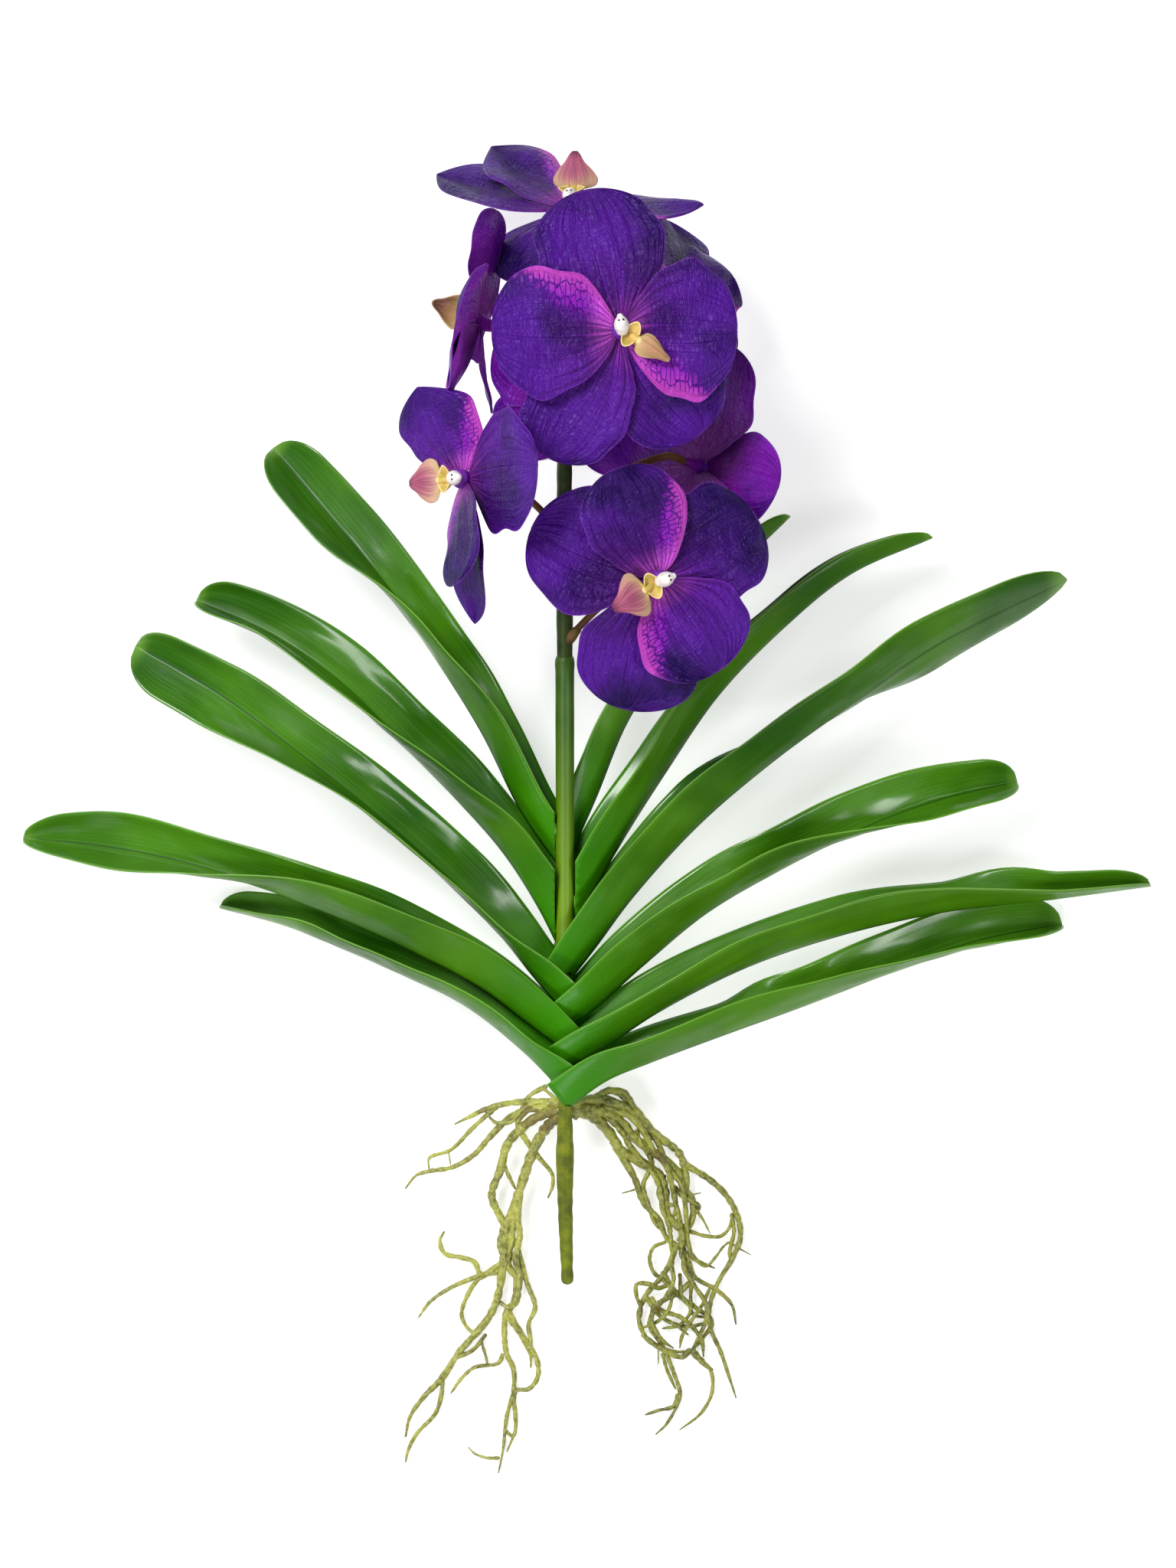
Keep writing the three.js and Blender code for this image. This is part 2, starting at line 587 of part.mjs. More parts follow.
// One row is a root: its radius where it starts, its radius at its tip, and the points it passes,
// seen from above. The first row of each bunch is the knob that bears on the stake.
const ROOTS_LEFT = [
  [3.4, 2.6, [-4, 2], [-5, -7]],
  [
    2.3, 1.5, [-1, 0], [-13, -4], [-26, -16], [-30, -29], [-34, -41], [-30, -51], [-27, -57],
    [-29, -68],
  ],
  [
    2.4, 1.1, [-1, -2], [-8, -8], [-14, -18], [-19, -32], [-23, -45], [-27, -55], [-29, -74],
    [-31, -87], [-35, -97], [-50, -115], [-57, -126], [-65, -134], [-72, -144], [-74, -153],
  ],
  [1.1, 0.7, [-57, -126], [-57, -131], [-60, -142], [-69, -152], [-73, -160], [-74, -165]],
  [
    1.9, 0.7, [-22, -40], [-25, -61], [-26, -74], [-22, -80], [-23, -91], [-27, -94],
    [-28, -110], [-27, -115], [-24, -122], [-24, -132], [-27, -143], [-29, -160], [-31, -170],
  ],
  [
    1.3, 0.8, [-27, -94], [-20, -106], [-13, -118], [-13, -126], [-17, -131], [-23, -132],
    [-23, -149], [-27, -160],
  ],
  [1.3, 0.9, [-23, -62], [-18, -81], [-14, -93], [-17, -101], [-16, -109], [-16, -121]],
  [1.4, 0.9, [-29, -72], [-39, -78], [-42, -72], [-48, -70], [-56, -68], [-58, -62], [-56, -58]],
  [1.1, 0.7, [-39, -78], [-53, -84], [-63, -91], [-68, -98]],
  [1.1, 0.8, [-31, -76], [-40, -80], [-46, -89], [-48, -97], [-44, -104], [-39, -105]],
  [1, 0.7, [-29, -115], [-31, -119], [-42, -121], [-48, -126], [-53, -133]],
  [1.8, 0.9, [-1, 2], [-13, 3], [-26, 2], [-37, -1], [-43, -4], [-51, -8]],
  [1.2, 0.7, [-32, 0], [-42, -9], [-53, -20], [-63, -24], [-63, -29]],
  [
    1.7, 0.8, [-8, 1], [-18, -1], [-26, -5], [-35, -14], [-42, -22], [-52, -28], [-63, -30],
    [-69, -32], [-74, -38],
  ],
  [1.5, 0.9, [-17, 0], [-22, -7], [-18, -15], [-13, -22], [-6, -31], [-6, -37], [-8, -42]],
];
const ROOTS_RIGHT = [
  [3.4, 2.6, [4, 2], [5, -7]],
  [
    2.5, 1.6, [3, 0], [13, -4], [20, -11], [26, -20], [34, -25], [43, -31], [46, -39], [47, -50],
    [54, -58], [54, -68], [59, -79],
  ],
  [2.3, 1.5, [4, 1], [23, -4], [33, -15], [51, -29], [55, -38], [59, -44], [58, -54], [52, -62]],
  [2.2, 1.5, [5, 3], [13, 4], [26, 0], [34, -7], [45, -15], [53, -22], [56, -33], [56, -42]],
  [1.7, 1.2, [11, 3], [21, 8], [29, 3], [36, -5], [43, -14]],
  [
    1.5, 0.8, [54, -26], [67, -34], [75, -42], [80, -52], [81, -61], [77, -71], [71, -81],
    [67, -92], [67, -102], [72, -114], [76, -126], [79, -135],
  ],
  [
    1.6, 0.9, [22, -16], [32, -33], [36, -44], [43, -52], [47, -61], [55, -67], [60, -79],
    [70, -85], [77, -92], [79, -101],
  ],
  [1.3, 0.9, [52, -64], [46, -77], [37, -88], [34, -98], [38, -108], [47, -113], [59, -114]],
  [
    1.2, 0.8, [60, -79], [53, -86], [44, -91], [39, -101], [45, -111], [50, -123], [53, -134],
    [47, -147], [42, -152],
  ],
  [1, 0.7, [52, -134], [50, -139], [43, -141], [37, -143]],
  [
    1.2, 0.7, [45, -77], [52, -87], [60, -93], [68, -100], [63, -108], [59, -114], [67, -122],
    [68, -132], [63, -142], [53, -150],
  ],
  [1.1, 0.8, [37, -88], [45, -98], [56, -102], [67, -100]],
];

// How high a root lies: high by the crown, and sinking to the surface away from it.
function rootHeight(x, y, radius) {
  return ROOT_CLEAR + radius + CROWN_HEIGHT * Math.exp(-Math.hypot(x, y) / ROOT_SINK);
}

function root([thick, thin, ...points]) {
  const route = points.map(([x, y], i) => {
    const radius = THREE.MathUtils.lerp(thick, thin, i / (points.length - 1));
    return [x, y, rootHeight(x, y, radius)];
  });
  const length = new THREE.CatmullRomCurve3(route.map((p) => vec(...p))).getLength();
  return strand(route, [thick, thin], ROOT_SIDES, Math.ceil(length / ROOT_STEP));
}

addPiece("roots_left", largest(joined(ROOTS_LEFT.map(root)).subtract(stemRoom)), ROOT);
addPiece("roots_right", largest(joined(ROOTS_RIGHT.map(root)).subtract(stemRoom)), ROOT);

// The origin is the middle of the plant's footprint, on the surface.
const bounds = new THREE.Box3().setFromObject(plant, true);
const centre = bounds.getCenter(vec(0, 0, 0));
plant.position.set(-centre.x, -centre.y, -bounds.min.z);

export default plant;
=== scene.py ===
# %% [markdown]
# # A vanda orchid, laid on its back
#
# This lesson dresses the solids of a bare-rooted vanda orchid of soft plastic: a fan of folded
# strap leaves, a spike of violet blooms, a stake and two bunches of aerial roots. The packed
# model comes in first, so that each new piece is built where the solid is that it stands for.

import math

import bmesh
import bpy
import numpy as np
from mathutils import Matrix, Vector


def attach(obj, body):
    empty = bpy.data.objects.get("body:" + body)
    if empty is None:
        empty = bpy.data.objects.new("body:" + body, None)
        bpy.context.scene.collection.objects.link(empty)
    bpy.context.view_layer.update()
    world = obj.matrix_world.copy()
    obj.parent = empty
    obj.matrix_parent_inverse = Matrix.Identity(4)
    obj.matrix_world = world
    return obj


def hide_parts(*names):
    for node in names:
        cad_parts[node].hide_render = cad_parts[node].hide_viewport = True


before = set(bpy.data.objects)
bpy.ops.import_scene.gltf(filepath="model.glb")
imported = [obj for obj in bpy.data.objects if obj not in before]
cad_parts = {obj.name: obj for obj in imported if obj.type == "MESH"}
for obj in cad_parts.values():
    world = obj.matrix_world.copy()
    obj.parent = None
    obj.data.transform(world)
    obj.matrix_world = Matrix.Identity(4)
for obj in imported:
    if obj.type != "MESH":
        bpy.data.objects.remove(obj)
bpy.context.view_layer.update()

# %% [markdown]
# ## Camera and light
#
# The camera looks straight down on the plant. A long lens from 2.2 m keeps the near blooms and
# the roots on the floor at nearly the same scale. All sizes are in millimetres from the crown,
# where leaves and roots meet, and one function turns them into the model's metres.

# %% Camera
CROWN = np.array([-9.955, -136.623, 0.0])  # where the crown lies in the model
CAMERA_PLACE = (10.5, 149.1, 2200)
scene = bpy.context.scene


def in_metres(points):
    return (np.asarray(points, dtype=float) + CROWN) / 1000


camera = bpy.data.objects.new("camera", bpy.data.cameras.new("camera"))
camera.data.sensor_width = 36
camera.data.lens = 109
camera.location = in_metres(CAMERA_PLACE)
scene.collection.objects.link(camera)
scene.camera = camera
print("camera height in m:", round(camera.location.z, 2))

# %% [markdown]
# A studio look needs one broad key light from the upper left for the petals, three weaker ones
# from the root end that glint on the upper wings of the leaves, and a dim, even world.

# %% Lights and world
LIGHT_AIM = (0, 150, 40)
WORLD_STRENGTH = 0.2


def area_light(name, place, size, power):
    lamp = bpy.data.lights.new(name, "AREA")
    lamp.size = size
    lamp.energy = power
    holder = bpy.data.objects.new(name, lamp)
    holder.location = in_metres(place)
    aim = Vector(in_metres(LIGHT_AIM)) - holder.location
    holder.rotation_euler = aim.to_track_quat("-Z", "Y").to_euler()
    scene.collection.objects.link(holder)


area_light("key", (-800, 1000, 1500), 0.7, 28)
area_light("glint_left", (-900, -600, 1500), 0.5, 9)
area_light("glint_right", (1100, -450, 1500), 0.5, 9)
area_light("glint_low", (100, -1700, 1000), 0.5, 6)
world = bpy.data.worlds.new("studio")
world.use_nodes = True
sky = world.node_tree.nodes["Background"].inputs
sky["Color"].default_value = (1, 1, 1, 1)
sky["Strength"].default_value = WORLD_STRENGTH
scene.world = world
scene.view_settings.view_transform = "Standard"

# %% [markdown]
# ## Short calls for shader nodes
#
# A material is a small program of nodes. Here a node's output is a Value that adds, subtracts
# and multiplies like a number, and each such sum makes the maths node that does it.

# %% Values and node helpers
class Value:
    """One output in a node tree, which can be reckoned with like a number."""

    def __init__(self, tree, socket):
        self.tree = tree
        self.socket = socket

    def __add__(self, other):
        return maths("ADD", self, other)

    def __sub__(self, other):
        return maths("SUBTRACT", self, other)

    def __rsub__(self, other):
        return maths("SUBTRACT", other, self)

    def __mul__(self, other):
        return maths("MULTIPLY", self, other)

    def __abs__(self):
        return maths("ABSOLUTE", self)


def fill(tree, sockets, values):
    """Set sockets to plain numbers, or link them to values."""
    for key, value in values.items():
        if isinstance(value, Value):
            tree.links.new(value.socket, sockets[key])
        else:
            sockets[key].default_value = value


def node(tree, kind, values, output=0, **settings):
    made = tree.nodes.new("ShaderNode" + kind)
    for key, value in settings.items():
        setattr(made, key, value)
    fill(tree, made.inputs, values)
    return Value(tree, made.outputs[output])


def maths(operation, *values):
    tree = next(value.tree for value in values if isinstance(value, Value))
    return node(tree, "Math", dict(enumerate(values)), operation=operation)


def fade(value, low, high, start=0, end=1):
    """start where the value is low, end where it is high, and a smooth change between."""
    limits = {"Value": value, "From Min": low, "From Max": high, "To Min": start, "To Max": end}
    return node(value.tree, "MapRange", limits, interpolation_type="SMOOTHSTEP")


def paint(*values):
    linear = [(v / 255 / 12.92) if v < 10 else ((v / 255 + 0.055) / 1.055) ** 2.4 for v in values]
    return (*linear, 1.0)


def mixed(share, *tones):
    """From the first tone to the second by a share. A tone is a value or a paint colour."""
    first, second = (tone if isinstance(tone, Value) else paint(*tone) for tone in tones)
    return node(share.tree, "Mix", {0: share, 6: first, 7: second}, output=2, data_type="RGBA")


def layered(tone, *layers):
    """Lay paint colours over a tone, one after the other, each by its own mask."""
    for mask, colour in layers:
        tone = mixed(mask, tone, colour)
    return tone


def relief(height, strength, distance):
    values = {"Height": height, "Strength": strength, "Distance": distance}
    return node(height.tree, "Bump", values)


def uv_parts(tree, layer):
    """The two values that a mesh keeps in one of its UV layers."""
    split = tree.nodes.new("ShaderNodeSeparateXYZ")
    fill(tree, split.inputs, {0: node(tree, "UVMap", {}, uv_map=layer)})
    return Value(tree, split.outputs[0]), Value(tree, split.outputs[1])


print("mid grey in the shader:", round(paint(128, 128, 128)[0], 3))

# %% [markdown]
# ## Effects that several finishes share
#
# Moulded plastic has soft patches of tone, fine long fibres pressed into it and a paler, thin
# edge. Each of these is a node group, made once and placed with each material's own numbers.

# %% Shared effect groups
def effect(name, numbers, mask_of):
    """Make a node group with numbers going in and a mask coming out, and a call that places it."""
    group = bpy.data.node_groups.new(name, "ShaderNodeTree")
    for label in numbers:
        group.interface.new_socket(label, in_out="INPUT", socket_type="NodeSocketFloat")
    group.interface.new_socket("Mask", in_out="OUTPUT", socket_type="NodeSocketFloat")
    given = group.nodes.new("NodeGroupInput").outputs
    mask = mask_of(*(Value(group, given[label]) for label in numbers))
    fill(group, group.nodes.new("NodeGroupOutput").inputs, {"Mask": mask})

    def placed(tree, *values):
        return node(tree, "Group", dict(zip(numbers, values)), node_tree=group)

    return placed


def soft_patches(scale, detail):
    place = node(scale.tree, "TexCoord", {}, output=3)
    values = {"Vector": place, "Scale": scale, "Detail": detail}
    return fade(node(scale.tree, "TexNoise", values), 0.3, 0.7)


def fine_lines(along, across, lines, length):
    """1 on lines that run along a blade or petal, each fading in and out."""
    place = node(along.tree, "CombineXYZ", {0: along * length, 1: across * lines})
    return fade(node(along.tree, "TexNoise", {"Vector": place, "Scale": 1, "Detail": 4}), 0.44, 0.62)


def sheet_edge(along, across, width):
    """1 along the edge of a sheet and 0 inside it. Across runs from 0 to 1 over its width."""
    return fade(maths("MAXIMUM", abs(across - 0.5) * 2, along), 1 - width, 1)


mottle = effect("mottle", ["Scale", "Detail"], soft_patches)
fibres = effect("fibres", ["Along", "Across", "Lines", "Length"], fine_lines)
rim = effect("rim", ["Along", "Across", "Width"], sheet_edge)
print("effects:", [group.name for group in bpy.data.node_groups])

# %% [markdown]
# ## Building closed sheets and strands
#
# Leaves, petals and lips are thin sheets with two faces and a rim. Stems and roots are strands.
# Both come from numbers, because they are simple surfaces that repeat with other sizes.

# %% Curves through given points
def smooth_route(points, places):
    """Points at places from 0 to 1 along a curve that passes the given points."""
    points = np.asarray(points, dtype=float)
    last = len(points) - 1
    ends = np.vstack([2 * points[0] - points[1], points, 2 * points[-1] - points[-2]])
    spot = np.clip(np.asarray(places, dtype=float), 0, 1) * last
    k = np.minimum(spot.astype(int), last - 1)
    w = (spot - k)[:, None]
    a, b, c, d = (ends[k + i] for i in range(4))
    steps = [np.sum((q - p) ** 2, axis=1) ** 0.25 for p, q in ((a, b), (b, c), (c, d))]
    g0, g1, g2 = (np.maximum(step, 1e-4)[:, None] for step in steps)
    start = ((b - a) / g0 - (c - a) / (g0 + g1) + (c - b) / g1) * g1
    end = ((c - b) / g1 - (d - b) / (g1 + g2) + (d - c) / g2) * g1
    bend = 3 * (c - b) - 2 * start - end
    return b + start * w + bend * w**2 + (2 * (b - c) + start + end) * w**3


def even_route(points, places):
    """The same curve, with the places spread evenly over its length, and that length."""
    fine = np.linspace(0, 1, 400)
    line = smooth_route(points, fine)
    run = np.concatenate([[0], np.cumsum(np.linalg.norm(np.diff(line, axis=0), axis=1))])
    return smooth_route(points, np.interp(np.asarray(places) * run[-1], run, fine)), run[-1]


def unit(vectors):
    return vectors / np.maximum(np.linalg.norm(vectors, axis=-1, keepdims=True), 1e-9)


def uneven(x, y, seed, waves=9):
    """A smooth random height, mostly between -1 and 1. The same seed gives the same height."""
    draw = np.random.default_rng(seed)
    total = np.zeros(np.broadcast(x, y).shape)
    for _ in range(waves):
        turn, start = draw.uniform(0, 2 * math.pi, 2)
        size = draw.uniform(0.6, 1.5)
        total += np.sin(2 * math.pi * size * (x * math.cos(turn) + y * math.sin(turn)) + start)
    return total / math.sqrt(waves)


bent = [[0, 0, 0], [10, 0, 0], [20, 5, 0]]
print("a route of 3 points has length", round(even_route(bent, [0, 1])[1], 1))

# %% [markdown]
# A part is a tuple: its points, its faces, and two numbers a point for each of two UV layers.
# "place" is how far along and how far across a petal or blade the point lies, and "kind" is
# which face it is on and one more value that the finish needs.

# %% Parts: sheets and strands
def closed_sheet(front, back, place, kind_front, kind_back):
    """A sheet between two grids of points, with its rim closed."""
    number = np.arange(front.shape[0] * front.shape[1]).reshape(front.shape[:2])
    corners = (number[:-1, :-1], number[:-1, 1:], number[1:, 1:], number[1:, :-1])
    faces = np.stack([corner.ravel() for corner in corners], axis=1)
    border = np.concatenate([number[0, :-1], number[:-1, -1], number[-1, :0:-1], number[:0:-1, 0]])
    ahead = np.roll(border, -1)
    rim_faces = np.stack([ahead, border, border + number.size, ahead + number.size], axis=1)
    all_faces = np.concatenate([faces, faces[:, ::-1] + number.size, rim_faces])
    points = np.concatenate([front.reshape(-1, 3), back.reshape(-1, 3)])
    spots = np.concatenate([place.reshape(-1, 2)] * 2)
    kinds = np.concatenate([kind_front.reshape(-1, 2), kind_back.reshape(-1, 2)])
    return points, all_faces, spots, kinds


def tube_faces(rings, sides):
    """The faces of a closed tube whose points lie in rings, one ring after the other."""
    first, second = np.meshgrid(np.arange(rings - 1), np.arange(sides), indexing="ij")
    a = (first * sides + second).ravel()
    b = (first * sides + (second + 1) % sides).ravel()
    faces = [tuple(corners) for corners in np.stack([a, b, b + sides, a + sides], axis=1)]
    return [*faces, tuple(range(sides - 1, -1, -1)), tuple(range((rings - 1) * sides, rings * sides))]


def strand(route, radii, sides, steps, swell=None, kind=0.0):
    """A round strand with rounded ends. swell, if given, makes its radius uneven."""
    places = np.linspace(0, 1, steps + 1)
    centres, _ = even_route(route, places)
    widths = np.interp(places, np.linspace(0, 1, len(radii)), radii)
    if swell is not None:
        widths = widths * swell(places)
    forward = unit(np.gradient(centres, axis=0))
    out = np.cross(forward[0], (0.3, 0.5, 0.81))
    caps = [(math.sin(a), math.cos(a)) for a in np.radians([20, 45, 75])]
    turn = np.linspace(0, 2 * math.pi, sides, endpoint=False)[:, None]
    rings, spots = [], []
    for i in range(steps + 1):
        out = unit(out - forward[i] * np.dot(out, forward[i]))
        ring = np.cos(turn) * out + np.sin(turn) * np.cross(forward[i], out)
        stops = [(0.0, 1.0)]
        if i == 0:
            stops = [(-push, share) for push, share in caps[::-1]] + stops
        if i == steps:
            stops = stops + caps
        for push, share in stops:
            rings.append(centres[i] + forward[i] * push * widths[i] * 0.8 + ring * widths[i] * share)
            spots += [(places[i], 0.5)] * sides
    kinds = np.tile([1.0, kind], (len(spots), 1))
    return np.concatenate(rings), tube_faces(len(rings), sides), np.array(spots), kinds


print("points in a short strand:", len(strand([[0, 0, 0], [0, 0, 9]], [1, 1], 8, 3)[0]))

# %% From parts to a piece on the frame
UV_LAYERS = ("place", "kind")


def piece(name, parts, finish, stands_for):
    """One object from several parts, riding on the frame in place of a solid of the model."""
    faces, total = [], 0
    for part_points, part_faces, *_ in parts:
        faces += [tuple(int(v) + total for v in face) for face in part_faces]
        total += len(part_points)
    points, spots, kinds = (np.concatenate([part[k] for part in parts]) for k in (0, 2, 3))
    mesh = bpy.data.meshes.new(name)
    mesh.from_pydata(in_metres(points), [], faces)
    corner = np.zeros(len(mesh.loops), dtype=np.int32)
    mesh.loops.foreach_get("vertex_index", corner)
    for label, values in zip(UV_LAYERS, (spots, kinds)):
        layer = mesh.uv_layers.new(name=label)
        layer.data.foreach_set("uv", values[corner].astype(np.float32).ravel())
    mesh.polygons.foreach_set("use_smooth", [True] * len(mesh.polygons))
    mesh.materials.append(finish)
    made = bpy.data.objects.new(name, mesh)
    scene.collection.objects.link(made)
    if stands_for:
        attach(made, "root")
        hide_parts(stands_for)
    return made


print("UV layers of each piece:", UV_LAYERS)

# %% [markdown]
# ## Finishes
#
# Each material is one Principled shader. Its constants are set on it directly, and only what
# changes over the piece comes from nodes. Colours are values from 0 to 255.

# %% The leaf finish
def plug(material, **values):
    """Set or feed sockets of the material's shader, with _ for the spaces in their names."""
    inputs = material.node_tree.nodes["Principled BSDF"].inputs
    fill(material.node_tree, inputs, {key.replace("_", " "): v for key, v in values.items()})
    return material


def new_finish(name, **constants):
    material = bpy.data.materials.new(name)
    material.use_nodes = True
    return plug(material, **constants), material.node_tree


def make_leaf_finish():
    """Green with a dark keel of painted shade in the crease of the fold, a fresh foot and a pale rim.
    The inner face is the glossy one.
    """
    material, tree = new_finish("leaf plastic", Specular_IOR_Level=0.16, Coat_Roughness=0.18)
    along, across = uv_parts(tree, "place")
    inner, _ = uv_parts(tree, "kind")
    patches = mottle(tree, 14, 3)
    lines = fibres(tree, along, across, 46, 3)
    keel = abs(across - 0.5)
    inner_tone = layered(mixed(patches, (30, 88, 0), (76, 138, 12)), (lines * 0.25, (86, 138, 40)))
    tone = layered(
        mixed(inner, mixed(patches, (38, 90, 0), (76, 132, 10)), inner_tone),
        # painted shade: a dark line down the keel, in the crease of the fold
        (fade(keel, 0.03, 0, 0, 0.7), (20, 62, 6)),
        (fade(along, 0.36, 0.04, 0, 0.85), (56, 140, 0)),
        (rim(tree, along, across, 0.025) * 0.6, (124, 176, 66)))
    gloss = fade(keel, 0, 0.08) * fade(inner, 0, 1, 0.2, 0.9)
    worn = mottle(tree, 60, 4)
    normal = relief(lines + worn * 0.9, 0.25, 0.0005)
    dull = fade(worn, 0, 1, 0.3, 0.5)
    return plug(material, Base_Color=tone, Coat_Weight=gloss, Roughness=dull, Normal=normal)


LEAF = make_leaf_finish()
print("made", LEAF.name)

# %% [markdown]
# A petal is deep violet with an embossed crinkle. One side of each petal carries a pink band
# under a dark net, the heart glows pink, and the backs are plain and more red. The net is a
# pattern of long cells with dark borders. The bloom that shows its backs gets lighter backs:
# painted light, standing in for the light on its tepals.

# %% The petal finish
def petal_net(along, across):
    """How far a point is from the borders of the long cells across a petal."""
    place = node(along.tree, "CombineXYZ", {0: along * 24, 1: across * 11})
    values = {"Vector": place, "Scale": 1, "Randomness": 0.8}
    settings = {"voronoi_dimensions": "2D", "feature": "DISTANCE_TO_EDGE"}
    return node(along.tree, "TexVoronoi", values, **settings)


def make_petal_finish(name, back_dark, back_pale):
    shine = {"Roughness": 0.35, "IOR": 1.36, "Specular_IOR_Level": 0.5}
    material, tree = new_finish(name, Specular_Tint=(0.6, 0.5, 1, 1), **shine)
    along, across = uv_parts(tree, "place")
    front, side = uv_parts(tree, "kind")
    # patches of darker and lighter violet: partly random tone, partly painted shade and sheen of the
    # petals' waves
    patches = fade(mottle(tree, 26, 2), 0, 0.9)
    small = mottle(tree, 150, 3)
    rays = fibres(tree, along, across, 19, 1.1)
    near_heart = fade(along, 0.75, 0.1)
    dark_rays = rays * near_heart * 0.75

    wobble = small * 0.05
    into_band = side + wobble - fade(along, 0.3, 0.96, 0.24, 1.05)
    band = fade(into_band, -0.16, 0.3) * front
    border = petal_net(along, across + wobble)
    shut = 0.4 - band * 0.37
    open_cell = fade(border, shut, shut + 0.13)
    rim_side = fade(side, 0.84, 0.93) * fade(into_band, 0, 0.3)
    cell = mixed(fade(side, 0.5, 0.95), (136, 28, 176), (182, 62, 178))
    glow = fade(along, 0.3, 0.05, 0, 0.95) * fade(side, -1, 0.7, 0.22, 1)

    face = layered(
        mixed(patches, (26, 1, 70), (76, 18, 138)),
        (small * 0.2, (84, 34, 144)),
        (near_heart * 0.4, (98, 16, 140)),
        (dark_rays, (34, 1, 74)),
        (band * 0.85, (84, 4, 136)),
        (band * maths("MAXIMUM", open_cell, rim_side), cell),
        (glow * (1 - dark_rays), (224, 96, 226)))
    back = layered(mixed(patches, back_dark, back_pale), (near_heart * 0.6, (146, 30, 150)))
    tone = layered(mixed(front, back, face), (rim(tree, along, across, 0.022) * 0.65, (126, 60, 176)))
    height = rays * 0.8 + mottle(tree, 210, 4) * 0.8 + fade(border, 0, 0.2, 0, 0.25)
    return plug(material, Base_Color=tone, Normal=relief(height, 0.8, 0.0008))


PETAL = make_petal_finish("petal plastic", (74, 3, 126), (116, 12, 160))
# a lighter copy for the bloom that shows its backs: painted light on those backs
PAINTED_LIGHT_PETAL = make_petal_finish("petal plastic with painted light", (116, 16, 172), (170, 44, 206))
print("made", PETAL.name, "and", PAINTED_LIGHT_PETAL.name)

# %% [markdown]
# The stems, roots, columns and lips have simpler finishes: a few colours over the mottle. The
# floor is plain paper that glows a little, so the shade between the leaves stays pale.

# %% Finishes of stems and roots
def make_plain_finish(name, dark, pale, scale, rough, bump):
    """Two tones in patches."""
    material, tree = new_finish(name, Roughness=rough, Specular_IOR_Level=0.35)
    patches = mottle(tree, scale, 4)
    return plug(material, Base_Color=mixed(patches, dark, pale), Normal=relief(patches, bump, 0.0006))


def make_sleeve_finish():
    material, tree = new_finish("sleeve plastic", Roughness=0.42, Specular_IOR_Level=0.4)
    along, _ = uv_parts(tree, "place")
    patches = mottle(tree, 60, 4)
    tone = mixed(fade(along, 0.15, 0.95), (108, 146, 4), (44, 86, 12))
    tone = mixed(patches * 0.35, tone, (88, 122, 38))
    return plug(material, Base_Color=tone, Normal=relief(patches, 0.2, 0.0005))


def make_spike_finish():
    """Dark olive for the spike and brown for the pedicels that the mesh marks."""
    material, tree = new_finish("spike plastic", Roughness=0.5, Specular_IOR_Level=0.3)
    along, around = uv_parts(tree, "place")
    _, mark = uv_parts(tree, "kind")
    patches = mottle(tree, 80, 4)
    ridges = fibres(tree, along, around, 30, 1)
    olive = mixed(patches, (24, 42, 10), (60, 78, 26))
    tone = mixed(mark, olive, mixed(ridges, (66, 34, 16), (150, 104, 52)))
    return plug(material, Base_Color=tone, Normal=relief(ridges + patches, 0.35, 0.0005))


def make_root_finish(name, dark, pale, speckle_and_glint):
    """Yellow olive, paler in patches, with fine pale speckles that are partly painted glints, and a
    brown scorch here and there.
    """
    material, tree = new_finish(name, Roughness=0.28, Specular_IOR_Level=0.6)
    along, _ = uv_parts(tree, "place")
    fine = mottle(tree, 520, 3)
    tone = layered(
        mixed(mottle(tree, 110, 4), dark, pale),
        # fine pale speckles: partly pale flecks of colour, partly painted glints
        (fine * 0.5, speckle_and_glint),
        (fade(mottle(tree, 60, 1), 0.93, 1, 0, 0.6), (92, 66, 28)),
        (fade(along, 0.93, 1, 0, 0.5), (74, 74, 26)))
    return plug(material, Base_Color=tone, Normal=relief(fine, 0.7, 0.0006))


SLEEVE = make_sleeve_finish()
SPIKE = make_spike_finish()
ROOT_LEFT = make_root_finish("root plastic", (94, 96, 10), (170, 172, 62), (208, 208, 124))
# the right bunch gets a darker copy of the root finish: painted shade
SHADED_ROOT_RIGHT = make_root_finish("root plastic in painted shade", (72, 74, 2), (144, 146, 44), (182, 184, 96))
STAKE = make_plain_finish("stake plastic", (84, 92, 0), (122, 132, 2), 150, 0.5, 0.8)
FLOOR = make_plain_finish("paper", (208, 208, 208), (212, 212, 212), 3, 0.9, 0)
plug(FLOOR, Emission_Color=(1, 1, 1, 1), Emission_Strength=0.62)
print("made:", [made.name for made in (SLEEVE, SPIKE, ROOT_LEFT, SHADED_ROOT_RIGHT, STAKE, FLOOR)])


# %% Finishes of columns and lips
def make_column_finish():
    """White, with the black of the two eyes where the mesh marks them."""
    material, tree = new_finish("column plastic", Roughness=0.4)
    _, mark = uv_parts(tree, "kind")
    white = mixed(mottle(tree, 300, 2), (224, 212, 210), (246, 242, 236))
    return plug(material, Base_Color=mixed(fade(mark, 0.4, 0.6), white, (14, 10, 12)))


